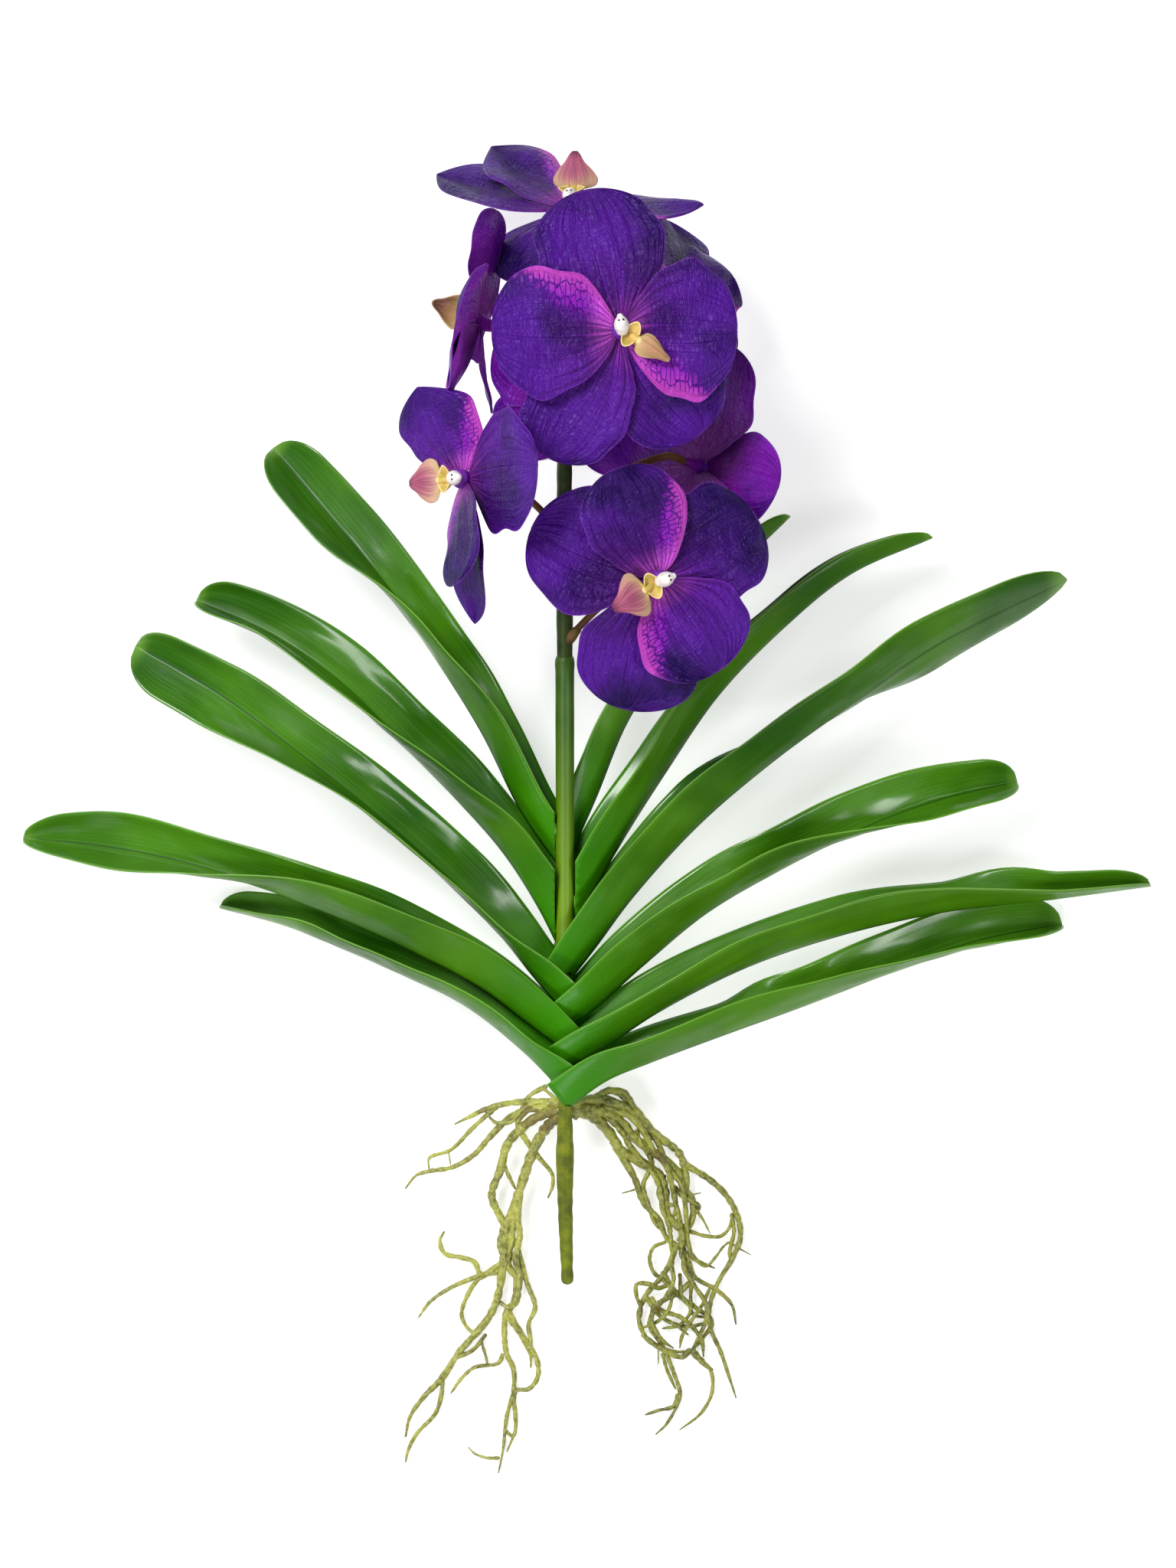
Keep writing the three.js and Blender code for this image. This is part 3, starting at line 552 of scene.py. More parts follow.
def make_lip_finish():
    """Yellow at the joint, beige shoulders, mauve streaks and a dark tip. The ears are yellow."""
    material, tree = new_finish("lip plastic", Roughness=0.48, Specular_IOR_Level=0.35)
    along, across = uv_parts(tree, "place")
    _, mark = uv_parts(tree, "kind")
    streaks = fibres(tree, along, across, 30, 1)
    reach = along + fade(abs(across - 0.5), 0.5, 0.1, 0, 0.25)
    lobe = layered(
        mixed(fade(along, 0.08, 0.3), (222, 200, 104), (214, 176, 140)),
        (fade(reach, 0.3, 0.85), (176, 88, 116)),
        (streaks * fade(reach, 0.2, 0.8, 0, 0.65), (126, 46, 88)),
        (fade(along, 0.72, 0.98, 0, 0.8), (88, 30, 72)))
    ear = mixed(mottle(tree, 170, 2), (186, 172, 66), (222, 186, 112))
    ear = mixed(rim(tree, along, across, 0.16), ear, (238, 214, 150))
    return plug(material, Base_Color=mixed(mark, lobe, ear), Normal=relief(streaks, 0.35, 0.0004))


COLUMN = make_column_finish()
LIP = make_lip_finish()
print("made", COLUMN.name, "and", LIP.name)

# %% [markdown]
# ## The leaves
#
# A strap leaf is two wings that meet in a fold. A table gives, for a few places along each fold,
# its x, y and z, the width of each wing, and the two angles at which the wings stand. A stroke
# parts two leaves.

# %% Leaf tables
LEAF_THICK = 1.1
LEAF_TIP = 0.93  # share of a leaf's length at which its rounded tip starts
SEAT = 0.3  # gap between two pieces that bear on each other


def numbers(text):
    return np.array(text.split(), dtype=float)


def leaves(text):
    """One array a leaf, with a row for each place along its fold."""
    return [numbers(leaf).reshape(-1, 6) for leaf in text.split("/")]


LEFT_LEAVES = leaves("""
-3 112 34 16 36 -16  -20 137 36 17 44 -14  -38 173 37 18 46 -20  -60 208 38 18 73 12
-81 238 37 18 92 15  -104 267 31 18 130 22  -134 303 22 17 130 32 /
-2 73 32 16 32 -26  -12 93 34 18 34 -26  -28 118 36 19 38 -24  -50 143 39 20 64 -10
-75 168 41 20 81 8  -105 197 39 20 100 14  -136 218 32 19 97 28  -169 233 24 17 100 38 /
-2 47 32 16 34 -28  -14 61 34 17 50 -24  -30 81 36 18 79 -18  -58 110 39 20 88 14
-90 138 38 20 93 16  -124 165 33 20 114 32  -159 191 26 20 148 44  -197 213 18 19 150 50 /
-1 28 32 15 34 -26  -17 40 34 18 30 -24  -40 57 36 19 26 -22  -78 77 38 20 43 -6
-118 94 34 20 58 24  -160 109 24 19 98 36  -205 119 12 20 115 30  -251 124 -1 13 110 45 /
-1 9 31 14 30 -28  -20 28 30 17 66 -18  -46 48 27 18 70 -4  -73 61 23 17 72 18  -101 73 18 16 70 32
-129 84 11 14 75 14  -160 92 0.4 9 80 20
""")
RIGHT_LEAVES = leaves("""
3 118 32 13 24 -30  14 143 33 15 30 -35  28 177 32 15 35 -35  44 202 31 14 35 -35
62 227 29 13 38 -35  81 250 27 11 40 -35  103 272 24 6 40 -35 /
4 84 32 16 30 -24  24 120 36 18 40 -12  46 155 39 18 47 -26  70 190 41 17 42 -30
99 220 39 14 40 -30  130 245 35 12 40 -30  168 262 28 7 40 -30 /
1 58 31 17 38 -30  14 75 34 18 33 -20  31 98 37 18 29 -14  61 131 42 20 33 -10  95 160 43 20 43 -56
131 186 39 20 48 -90  170 213 32 19 44 -120  230 243 22 16 50 -112 /
2 38 31 16 34 -28  15 48 34 18 36 -18  36 67 37 20 40 -10  65 91 40 20 55 -15  98 110 38 20 62 18
133 127 32 20 90 15  170 141 24 19 108 30  208 150 15 17 110 42 /
0 19 31 15 33 -26  18 29 34 18 42 -18  42 45 36 19 55 -10  83 66 38 19 50 -25  128 81 36 19 43 -22
175 91 27 17 50 -40  223 96 14 15 75 33  271 102 -1 11 80 40 /
1 1 30 16 25 -25  19 14 33 17 36 -28  38 22 35 18 50 -30  75 36 37 18 48 -44  112 49 33 18 57 18
150 63 24 19 77 12  189 76 12 20 95 18  230 84 -1 16 100 30
""")
print("leaves:", len(LEFT_LEAVES), "left and", len(RIGHT_LEAVES), "right")

# %% [markdown]
# Each wing arches a little, its edge waves and thins out, and the tip is rounded and rests on
# the surface. With a large "outside" and some "spare" the same function makes the room that an
# outer leaf needs, because leaves clasp each other at the foot.

# %% One folded strap
CLEAR_OF_FLOOR = 0.1  # no row of points of a leaf lies lower than this


def folded_strap(rows, side, seed, steps=64, until=1, wing=10, outside=LEAF_THICK / 2, spare=0):
    """A leaf, or with some spare the room round it. Each wing has wing points across."""
    t = 1 - (1 - until * np.linspace(0, 1, steps + 1)) ** 1.25
    centre = smooth_route(rows[:, :3], t)
    along = unit(smooth_route(rows[:, :3], t + 1e-4) - smooth_route(rows[:, :3], t - 1e-4))
    shape = smooth_route(rows[:, 3:], t)
    up = unit(np.stack([-along[:, 1] * side, along[:, 0] * side, np.zeros(len(t))], axis=1))
    front = -side * unit(np.cross(up, along))
    tip = np.maximum(0, (t - LEAF_TIP) / (1 - LEAF_TIP))
    width = shape[:, 0] * np.maximum(0.06, np.sqrt(np.maximum(1 - tip**2, 0))) + 2 * spare
    near, far = np.radians(shape[:, 1]), np.radians(shape[:, 2])
    half_fold = (near - far) / 2
    inside = np.minimum(LEAF_THICK / 2 + spare, 0.3 * width * np.tan(half_fold))
    crease = inside / np.maximum(np.sin(half_fold), 0.25)
    first = np.clip(crease * np.cos(half_fold) / width, 0.01, 0.3)
    is_leaf = spare == 0

    def toward(angle):
        return up * np.cos(angle)[:, None] + front * np.sin(angle)[:, None]

    def on_wing(angle, into, share, depth):
        hump = np.sin(math.pi * share)
        arch = 0.05 * width * hump
        if is_leaf:
            settled = np.clip((t + 0.1) / 0.5, 0, 1) * (width / width.max()) ** 2
            wave = 0.9 * uneven(t * 4, share * 0.7 + angle[0], seed + 5) * share**2
            pucker = 0.3 * uneven(t * 10, share * 1.4 + angle[0], seed + 40) * hump
            arch = arch - (wave + pucker) * settled
        flat = centre + toward(angle) * (width * share)[:, None]
        return flat + toward(into) * (depth - arch)[:, None]

    upper, under, place = [], [], []
    for k in range(-wing, wing + 1):
        angle, into = (near, near - math.pi / 2) if k < 0 else (far, far + math.pi / 2)
        share = abs(k) / wing
        thin = 1 - 0.45 * max(0, share - 0.8) / 0.2 if is_leaf else 1.0
        if k == 0:
            middle = toward((near + far) / 2)
            upper.append(centre + middle * crease[:, None])
            under.append(centre - middle * outside)
        else:
            below = np.full(len(t), -outside * thin)
            upper.append(on_wing(angle, into, first + (1 - first) * share, inside * thin))
            under.append(on_wing(angle, into, np.full(len(t), share), below))
        place.append(np.stack([t, np.full(len(t), 0.5 + 0.5 * k / wing)], axis=1))
    grids = [np.stack(stack, axis=1) for stack in (upper, under, place)]
    if is_leaf:
        lowest = np.minimum(grids[0][:, :, 2], grids[1][:, :, 2]).min(axis=1)
        for grid in grids[:2]:
            grid[:, :, 2] += np.maximum(CLEAR_OF_FLOOR - lowest, 0)[:, None]
    kinds = np.full((*grids[0].shape[:2], 2), 1.0)
    return closed_sheet(*grids, kinds, kinds * 0)


print("points in a leaf:", len(folded_strap(LEFT_LEAVES[0], -1, 1)[0]))

# %% [markdown]
# Leaves are nested from the lowest up. Each one loses the room of the two below it and of the
# stem, by Blender's boolean, and only its largest body is kept.

# %% Trimming, and the room that the stem needs
def bodies_of(shape):
    """The points of a mesh, in one list for each body that hangs together."""
    bodies, seen = [], set()
    for start in shape.verts:
        if start in seen:
            continue
        seen.add(start)
        body = [start]
        for point in body:  # the list grows while its neighbours are found
            for link in point.link_edges:
                other = link.other_vert(point)
                if other not in seen:
                    seen.add(other)
                    body.append(other)
        bodies.append(body)
    return bodies


def trimmed(made, cutters):
    """Take the cutters out of a piece, keep its largest body, and tell how many there were."""
    for cutter in cutters:
        cut = made.modifiers.new("cut", "BOOLEAN")
        cut.operation, cut.solver, cut.object = "DIFFERENCE", "EXACT", cutter
    ready = made.evaluated_get(bpy.context.evaluated_depsgraph_get())
    mesh = bpy.data.meshes.new_from_object(ready)
    made.modifiers.clear()
    old, made.data = made.data, mesh
    bpy.data.meshes.remove(old)
    shape = bmesh.new()
    shape.from_mesh(mesh)
    bodies = bodies_of(shape)
    largest = max(bodies, key=len)
    loose = [point for body in bodies if body is not largest for point in body]
    bmesh.ops.delete(shape, geom=loose, context="VERTS")
    shape.to_mesh(mesh)
    shape.free()
    return len(bodies)


STAKE_ROUTE = [[1, -79, 16], [0, -40, 22], [0, 0, 28], [0, 35, 31], [0, 70.4, 32.8]]
STAKE_RADII = [2.7, 3.4, 4.3, 2.4, 2.4, 2.4]
SLEEVE_ROUTE = [[0, 71, 33], [0, 112, 38], [0, 157, 46], [0, 205, 57]]
SLEEVE_RADII = [4.1, 4.3]
SPIKE_ROUTE = [[0, 205.3, 57], [0, 247, 67], [0, 294, 75], [1, 335, 70], [2, 372, 50]]
FRONT_HEIGHT = 40  # how far before the sleeve a leaf is cut away


def stem_room(name, route, radii, steps):
    room = strand(route, [radius + SEAT for radius in radii], 20, steps)
    return piece(name, [room], LEAF, None)


def sleeve_front(side):
    """A box in front of the sleeve, on the side from which a leaf would cross it."""
    start, end = np.array(SLEEVE_ROUTE[0]), np.array(SLEEVE_ROUTE[-1])
    radius = SLEEVE_RADII[-1]
    size = (2 * (radius + SEAT) + radius, end[1] - start[1] + 20, FRONT_HEIGHT, 1)
    tilt = math.atan2(end[2] - start[2], end[1] - start[1])
    fit = Matrix.Translation(Vector((start + end) / 2)) @ Matrix.Rotation(tilt, 4, "X")
    fit = fit @ Matrix.Translation((-side * radius / 2, 0, FRONT_HEIGHT / 2)) @ Matrix.Diagonal(size)
    room = bmesh.new()
    bmesh.ops.create_cube(room, size=1.0)
    bmesh.ops.transform(room, matrix=fit, verts=room.verts)
    points = np.array([v.co[:] for v in room.verts])
    faces = [[v.index for v in f.verts] for f in room.faces]
    room.free()
    blank = np.zeros((len(points), 2))
    return piece("sleeve_front", [(points, faces, blank, blank)], LEAF, None)


stem = [stem_room("stake_room", STAKE_ROUTE, STAKE_RADII, 30)]
stem.append(stem_room("sleeve_room", SLEEVE_ROUTE, SLEEVE_RADII, 20))
fronts = {side: sleeve_front(side) for side in (1, -1)}
print("rooms for the stem:", len(stem) + len(fronts))

# %% Nest and trim the leaves
CLASP = 5 / 12  # share of a leaf's length over which it clasps the next one
ROOM_DEPTH = 14  # how far outside a leaf the next one is cut away
nested = []
for i in range(len(LEFT_LEAVES), 0, -1):
    nested.append((f"leaf_right_{i + 1}", RIGHT_LEAVES[i], 1))
    nested.append((f"leaf_left_{i}", LEFT_LEAVES[i - 1], -1))
nested.append(("leaf_right_1", RIGHT_LEAVES[0], 1))
rooms = []
for number, (name, rows, side) in enumerate(nested):
    made = piece(name, [folded_strap(rows, side, number)], LEAF, name)
    starts_by_sleeve = rows[0][1] > SLEEVE_ROUTE[0][1]
    bodies = trimmed(made, rooms[-2:] + stem + ([fronts[side]] if starts_by_sleeve else []))
    room = folded_strap(rows, side, number, 16, CLASP, 4, ROOM_DEPTH, SEAT)
    rooms.append(piece(f"room_{name}", [room], LEAF, None))
    print(name, "had", bodies, "bodies,", len(made.data.polygons), "faces")
for room in rooms + stem + list(fronts.values()):
    bpy.data.objects.remove(room)

# %% [markdown]
# ## The blooms
#
# A bloom is a hub with five broad tepals: three sepals behind, then two petals in front. The
# table gives where its heart is, which way it faces, where its top points, how far up the spike
# its pedicel starts, and its lip. A tepal's row is its angle, length and width, its lean, curl,
# cup and wave, then a twist where it has one, and "pointed" where its end isn't round.

# %% Bloom tables
BLOOMS = [
  {"at": [25, 348, 118], "face": [0.05, 0.02, 1], "top": [-0.17, 0.98, 0],
   "from": 328, "lip": [46, 5.4, 3, 3, 0, 0.45], "tepals": [
    [4, 65, 56, -4, 4, 3, 1.5], [140, 64, 48, -4, 3, 3, 1.5], [-149, 57, 54, -9, 3, 3, 1.5],
    [81, 57, 58, 3, 3, -2, 2], [-100, 51, 61, 5, 3, -2, 2]]},
  {"at": [42, 239, 112], "face": [0.12, -0.1, 1], "top": [0.92, 0.39, 0],
   "from": 213, "lip": [6, 10.4, 4.5, 2.5, 0, 0], "tepals": [
    [9, 52, 53, -4, 4, 3, 1.5], [136, 60, 54, -6, 4, 3, 1.5], [-126, 60, 55, -8, 4, 3, 1.5],
    [89, 53, 46, 6, 3, -2, 2], [-80, 48, 52, 6, 3, -2, 2]]},
  {"at": [-44, 284, 100], "face": [-0.72, 0, 0.7], "top": [0.7, 0.05, 0.72],
   "from": 256, "lip": [0, 10, 4, 1, 5, 0], "tepals": [
    [0, 54, 54, 14, 6, 3, 2], [126, 48, 34, -6, 0, 3, 2, 0, "pointed"],
    [-99, 64, 38, -8, 3, 3, 2, -20, "pointed"], [106, 43, 39, 14, -4, -3, 2, -15, "pointed"],
    [-80, 49, 38, 14, -3, -3, 2, -20]]},
  {"at": [-37.5, 355, 82], "face": [-0.93, 0.33, -0.2], "top": [0.33, 0.94, 0],
   "from": 326, "lip": [90, 8, 3, 4, 38, 0.5], "tepals": [
    [0, 50, 38, 17, 4, 3, 2, 12], [172, 37, 32, -20, 4, 3, 2, 12], [-148, 42, 34, 2, 3, 3, 2],
    [85, 34, 36, 12, 3, -2, 2], [-102, 42, 58, 2, 3, -2, 3]]},
  {"at": [3, 408, 60], "face": [-0.1, 0.86, 0.5], "top": [0, -0.5, 0.86],
   "from": 364, "lip": [-12, 10.4, 3, 5, 50, 0], "tepals": [
    [-40, 45, 42, -16, 4, 3, 1.5], [-118, 69, 40, 11, 3, 3, 2, 0, "pointed"],
    [150, 34, 34, -10, 4, 3, 2], [-143, 59, 34, 14, 1, 3, 2, 0, "pointed"],
    [79, 61, 29, 4, 4, -2, 2, 0, "pointed"]]},
  {"at": [53, 372, 60], "face": [0.55, 0.45, 0.7], "top": [-0.25, 0.9, -0.2],
   "from": 345, "lip": [0, 7, 4.5, 3, 0, 0], "tepals": [
    [-22, 47, 38, -8, 3, 2, 2], [142, 42, 32, -6, 3, 2, 2], [-142, 38, 32, -6, 3, 2, 2],
    [85, 38, 38, 0, 3, -2, 2], [-80, 33, 36, 6, 3, -2, 2]]},
  {"at": [61, 292, 60], "face": [0.72, -0.2, -0.66], "top": [0.3, 0.95, 0.1],
   "from": 268, "lip": [0, 8, 4.5, 3, 0, 0], "tepals": [
    [2, 56, 48, -4, 4, 3, 2], [142, 60, 44, -4, 4, 3, 2], [-142, 60, 44, 4, 4, 3, 2],
    [88, 52, 44, 4, 3, -2, 2], [-85, 52, 48, 6, 3, -2, 2]]},
  {"at": [10, 338, 13], "face": [0, 0.05, -1], "top": [0.2, 0.98, 0],
   "from": 338, "lip": [0, 7, 0, 1, 12, 0], "tepals": [
    [0, 50, 44, 16, 5, 3, 1.5], [142, 51, 38, 16, 4, 3, 1.5], [-142, 51, 38, 16, 4, 3, 1.5],
    [85, 45, 46, 16, 3, -2, 2], [-85, 45, 46, 16, 3, -2, 2]]},
]
print("blooms:", len(BLOOMS))

# %% [markdown]
# A tepal has a narrow foot, a broad middle and a round or pointed end. On it lie a cup, a ripple
# and a fine crinkle, all real relief. Its rim is thin and a little uneven.

# %% One tepal
TEPAL_GRID = 49  # points along a tepal, and across it
TEPAL_START = 0.8  # how far from the bloom's axis a tepal starts
HALF_THICK = 0.45
ROUND_END, POINTED_END = 0.5, 0.9


def bloom_frame(bloom):
    face = unit(np.array(bloom["face"], dtype=float))
    top = np.array(bloom["top"], dtype=float)
    top = unit(top - face * top.dot(face))
    return np.stack([np.cross(top, face), top, face]), np.array(bloom["at"], dtype=float)


def tepal_width(share, foot, end):
    """Half the outline of a tepal, as a share of its half width."""
    swell = np.maximum(1 - np.abs(2 * share**1.25 - 1) ** 2.2, 0)
    step = np.clip((share - 0.2) / 0.5, 0, 1)
    step = step * step * (3 - 2 * step)
    return swell ** (foot + (end - foot) * step)


def sheet_round(points, guide, half_thick, place, front, back):
    """A closed sheet round a grid of points, whose faces look the way the guide grid does."""
    out = unit(np.cross(np.gradient(guide, axis=1), np.gradient(guide, axis=0)))
    out = out * half_thick[..., None]
    return closed_sheet(points + out, points - out, place, front, back)


def tepal(row, is_petal, seed):
    angle, length, width, lean, curl, cup, wave, *rest = row
    twist = rest[0] if rest else 0
    end = POINTED_END if "pointed" in rest else ROUND_END
    depth, foot = (1.2, 0.6) if is_petal else (-0.6, 0.85)
    turn = math.radians(angle)
    along = np.array([-math.sin(turn), math.cos(turn), 0])
    across = np.array([math.cos(turn), math.sin(turn), math.tan(math.radians(twist))])
    u = np.linspace(0, 1, TEPAL_GRID)[:, None]
    v = np.sin(np.linspace(-1.476, 1.476, TEPAL_GRID))[None, :] / math.sin(1.476)
    share = 0.02 + 0.979 * np.sin(u * math.pi / 2) ** 0.9
    reach = TEPAL_START + (length - TEPAL_START) * share
    narrowest = np.where(share < 0.5, 2.2, 0.25)
    half = np.maximum(width / 2 * tepal_width(share, foot, end), narrowest)
    rise = math.tan(math.radians(lean)) * (reach - TEPAL_START) - curl * share**2
    aside = half * v / (width / 2)
    ripple = wave * np.sin(7 * share + angle) * aside * share
    height = depth + rise + cup * aside * aside * share + ripple

    out_there = share * (1 - share**12)
    swells = 1.8 * uneven(share * 1.3, v * 0.8, seed + 1) * (1 - 0.6 * np.abs(v) ** 4)
    crinkles = 0.1 * uneven(share * 7, v * 4, seed + 2) * (1 - v**4)
    folds = 0.2 * np.sin(11 * v + 3 * uneven(share, v, seed + 5)) * np.clip(1.3 - 2 * share, 0, 1)
    rolled = 0.9 * np.clip((np.abs(v) - 0.7) / 0.3, 0, 1) ** 2
    height = height + (swells + crinkles + folds - rolled) * out_there
    edge = 1 + 0.045 * uneven(share * 2.6, np.sign(v) * 1.7, seed) * np.abs(v)

    def laid(half_width):
        flat = reach[..., None] * along + (half_width * v * edge)[..., None] * across
        return flat + height[..., None] * np.array([0, 0, 1.0])

    broad = laid(np.maximum(half, width * 0.35))  # so that a narrow end keeps a clear direction
    half_thick = HALF_THICK * (1 - 0.6 * np.maximum(np.abs(v), share) ** 6)
    place = np.stack(np.broadcast_arrays(share, 0.5 + 0.5 * v), axis=2)
    side = v if is_petal else np.full(v.shape, -1.0)
    front = np.stack(np.broadcast_arrays(np.ones_like(share), side), axis=2)
    back = front * np.array([0, 1.0])
    return sheet_round(laid(half), broad, half_thick, place, front, back)


print("points in a tepal:", len(tepal(BLOOMS[0]["tepals"][0], False, 0)[0]))

# %% The blooms
HUB_ROUTE, HUB_RADII = [[0, 0, -10], [0, 0, 2.6]], [1.9, 2.6, 3.6, 4.4]
# the bloom that gets the painted light of the lighter petal finish
PAINTED_LIGHT_BLOOM = 4
SEPALS = 3


def on_each_bloom(kind, finish_of, parts_of):
    """One piece of a kind on every bloom, made in the bloom's own axes and then placed."""
    for number, bloom in enumerate(BLOOMS, 1):
        turn, heart = bloom_frame(bloom)
        parts = [(part[0] @ turn + heart, *part[1:]) for part in parts_of(number, bloom)]
        name = f"{kind}_{number}"
        made = piece(name, parts, finish_of(number), name)
    print("made", kind, "pieces:", number, "with", len(made.data.polygons), "faces in the last")


def bloom_parts(number, bloom):
    hub = strand(HUB_ROUTE, HUB_RADII, 28, 10, kind=-1.0)
    hub = (*hub[:3], hub[3] * [0, 1])  # in the colour of the tepals' backs
    rows = enumerate(bloom["tepals"])
    return [hub, *(tepal(row, k >= SEPALS, number * 31 + k) for k, row in rows)]


def petal_finish_of(number):
    return PAINTED_LIGHT_PETAL if number == PAINTED_LIGHT_BLOOM else PETAL


on_each_bloom("bloom", petal_finish_of, bloom_parts)

# %% [markdown]
# ## Columns and lips
#
# At the heart of each bloom lies the white column, an egg with two small dark eyes, and under it
# the lip: a yellow cup of two ears, and a broad-shouldered lobe that narrows to a dark tip.

# %% Columns
NECK_ROUTE, NECK_RADII = [[0, 0.6, 3.3], [0, 0.8, 7.5]], [2.2, 2.4]
EGG_ROUTE, EGG_RADII = [[0, -1.0, 6.6], [0, 2, 8.0], [0, 5.6, 8.4]], [2.6, 3.3, 3.3, 2.7, 1.3]
EYE_APART, EYE_RADII = 0.95, [0.5, 0.5, 0.35]


def dome(centre, radii, sides, rings, kind):
    """A closed egg about a centre, with its three half sizes."""
    turn = np.linspace(0, 2 * math.pi, sides, endpoint=False)[None, :]
    drop = np.linspace(0.04, math.pi - 0.04, rings + 1)[:, None]
    grid = [np.sin(drop) * np.cos(turn), np.sin(drop) * np.sin(turn), np.cos(drop) + 0 * turn]
    points = np.stack(grid, axis=2).reshape(-1, 3) * np.array(radii) + np.array(centre)
    faces = [(face[0], *face[:0:-1]) for face in tube_faces(rings + 1, sides)]
    return points, faces, np.full((len(points), 2), 0.5), np.tile([1.0, kind], (len(points), 1))


def column_parts(number, bloom):
    neck = strand(NECK_ROUTE, NECK_RADII, 20, 6)
    egg = strand(EGG_ROUTE, EGG_RADII, 28, 20)
    eyes = [dome([x, 3.4, 10.9], EYE_RADII, 12, 6, 1.0) for x in (-EYE_APART, EYE_APART)]
    return [neck, egg, *eyes]


on_each_bloom("column", lambda number: COLUMN, column_parts)

# %% Lips
LOBE_PLACES = [0, 0.06, 0.16, 0.3, 0.5, 0.72, 0.9, 1]
LOBE_WIDTHS = [0.24, 0.6, 0.92, 1, 0.8, 0.44, 0.26, 0.12]
LOBE = np.column_stack([LOBE_PLACES, LOBE_WIDTHS])
LOBE_LENGTH, LOBE_START = 17, -8
LIP_BASE = 3.2  # how far before the bloom's heart the lip sits
JOINT_RADII = [1.5, 1.7, 1.9]


def sheet_over(surface, rows, columns, half_thick, mark):
    """A sheet along surface(u, v), with u from 0 to 1 and v from -1 to 1."""
    u, v = np.meshgrid(np.linspace(0, 1, rows + 1), np.linspace(-1, 1, columns + 1), indexing="ij")
    points = surface(u, v)
    thick = half_thick * (1 - 0.55 * np.maximum(np.abs(v), u) ** 5)
    place = np.stack([u, 0.5 + 0.5 * v], axis=2)
    kind = np.stack([np.ones_like(u), np.full(u.shape, mark)], axis=2)
    return sheet_round(points, points, thick, place, kind, kind)


def lip_parts(number, bloom):
    turn, breadth, rise, drop, tilt, pale = bloom["lip"]
    lean = math.radians(tilt)

    def lobe(u, v):
        share, width = smooth_route(LOBE, u[:, 0]).T[:, :, None]
        creases = 0.2 * np.cos(11 * v) * np.sin(math.pi * u) + 0.12 * np.sin(23 * v) * u
        lift = rise * np.sin(math.pi * 0.8 * share) - drop * v * v * width + creases
        run = LOBE_LENGTH * share
        y = LOBE_START - run * math.cos(lean) + lift * math.sin(lean)
        z = LIP_BASE + 3.6 + run * math.sin(lean) + lift * math.cos(lean)
        return np.stack([breadth * width * v, y, z], axis=2)

    def ears(u, v):
        half = 6.2 * np.sin(math.pi * (0.07 + 0.86 * u)) ** 0.7
        flare = 3.8 * v * v + 0.5 * np.sin(5 * u) * np.abs(v)
        return np.stack([half * v, -1.4 - 6.4 * u, LIP_BASE + 1.3 + flare + u], axis=2)

    joint_route = [[0, -5, LIP_BASE + 0.8], [0, -5.6, LIP_BASE + 2.2], [0, -9.4, LIP_BASE + 3.7]]
    joint = strand(joint_route, JOINT_RADII, 18, 12, kind=1.0)
    parts = [joint, sheet_over(lobe, 40, 34, 0.45, pale), sheet_over(ears, 30, 26, 0.42, 1.0)]
    c, s = math.cos(math.radians(turn)), math.sin(math.radians(turn))
    spin = np.array([[c, s, 0], [-s, c, 0], [0, 0, 1]])
    return [(part[0] @ spin, *part[1:]) for part in parts]


on_each_bloom("lip", lambda number: LIP, lip_parts)

# %% [markdown]
# ## Spike, sleeve and stake
#
# The spike rises out of a tubular sleeve and sends a thin pedicel to each bloom, each out of a
# short bract. Below the fan a dimpled stake runs between the roots.

# %% Spike with its pedicels
SPIKE_RADII = [3.7, 3.7, 2.96, 2.035]
PEDICEL_RADII, BRACT_RADII = [1.6, 1.6, 1.7, 1.85], [3.2, 2.9, 1.9]
BRACT_LENGTH = 9


def swelling(size, count, seed):
    """A swell for a strand: its radius wavers by a share of itself, about count times."""
    return lambda p: 1 + size * uneven(p * count, 0, seed)


def on_spike(height):
    share = (height - SPIKE_ROUTE[0][1]) / (SPIKE_ROUTE[-1][1] - SPIKE_ROUTE[0][1])
    return even_route(SPIKE_ROUTE, [min(max(share, 0), 1)])[0][0]


def spike_parts():
    parts = [strand(SPIKE_ROUTE, SPIKE_RADII, 28, 90, swelling(0.03, 14, 5))]
    for bloom in BLOOMS:
        turn, heart = bloom_frame(bloom)
        far, near, end = (np.array([0, 0, behind]) @ turn + heart for behind in (-24, -20, -10.3))
        start = on_spike(bloom["from"])
        elbow = start + (far - start) * 0.45 + np.array([0, 4, 0])
        parts.append(strand([start, elbow, near, end], PEDICEL_RADII, 16, 40, kind=1.0))
        bract = start + (elbow - start) * min(1, BRACT_LENGTH / np.linalg.norm(elbow - start))
        parts.append(strand([start, bract], BRACT_RADII, 16, 8, kind=0.6))
    return parts


def sleeve_swell(p):
    ring = 0.05 * np.exp(-(((p - 0.985) / 0.012) ** 2))  # the rolled edge of its mouth
    return swelling(0.012, 5, 8)(p) + ring


spike = piece("spike", spike_parts(), SPIKE, "spike")
sleeve = strand(SLEEVE_ROUTE, SLEEVE_RADII, 32, 110, sleeve_swell)
piece("sleeve", [sleeve], SLEEVE, "sleeve")
stake = strand(STAKE_ROUTE, STAKE_RADII, 28, 120, swelling(0.05, 16, 12))
piece("stake", [stake], STAKE, "stake")
print("spike faces:", len(spike.data.polygons))

# %% [markdown]
# ## Aerial roots
#
# Each root is a thin strand that starts high by the crown, sinks to the floor, and swells and
# narrows every few millimetres. There is one root a line: its thickness at the start and at the
# end, how far its middle is lifted over others, x and y of its start, and then its steps in x
# and y from point to point.

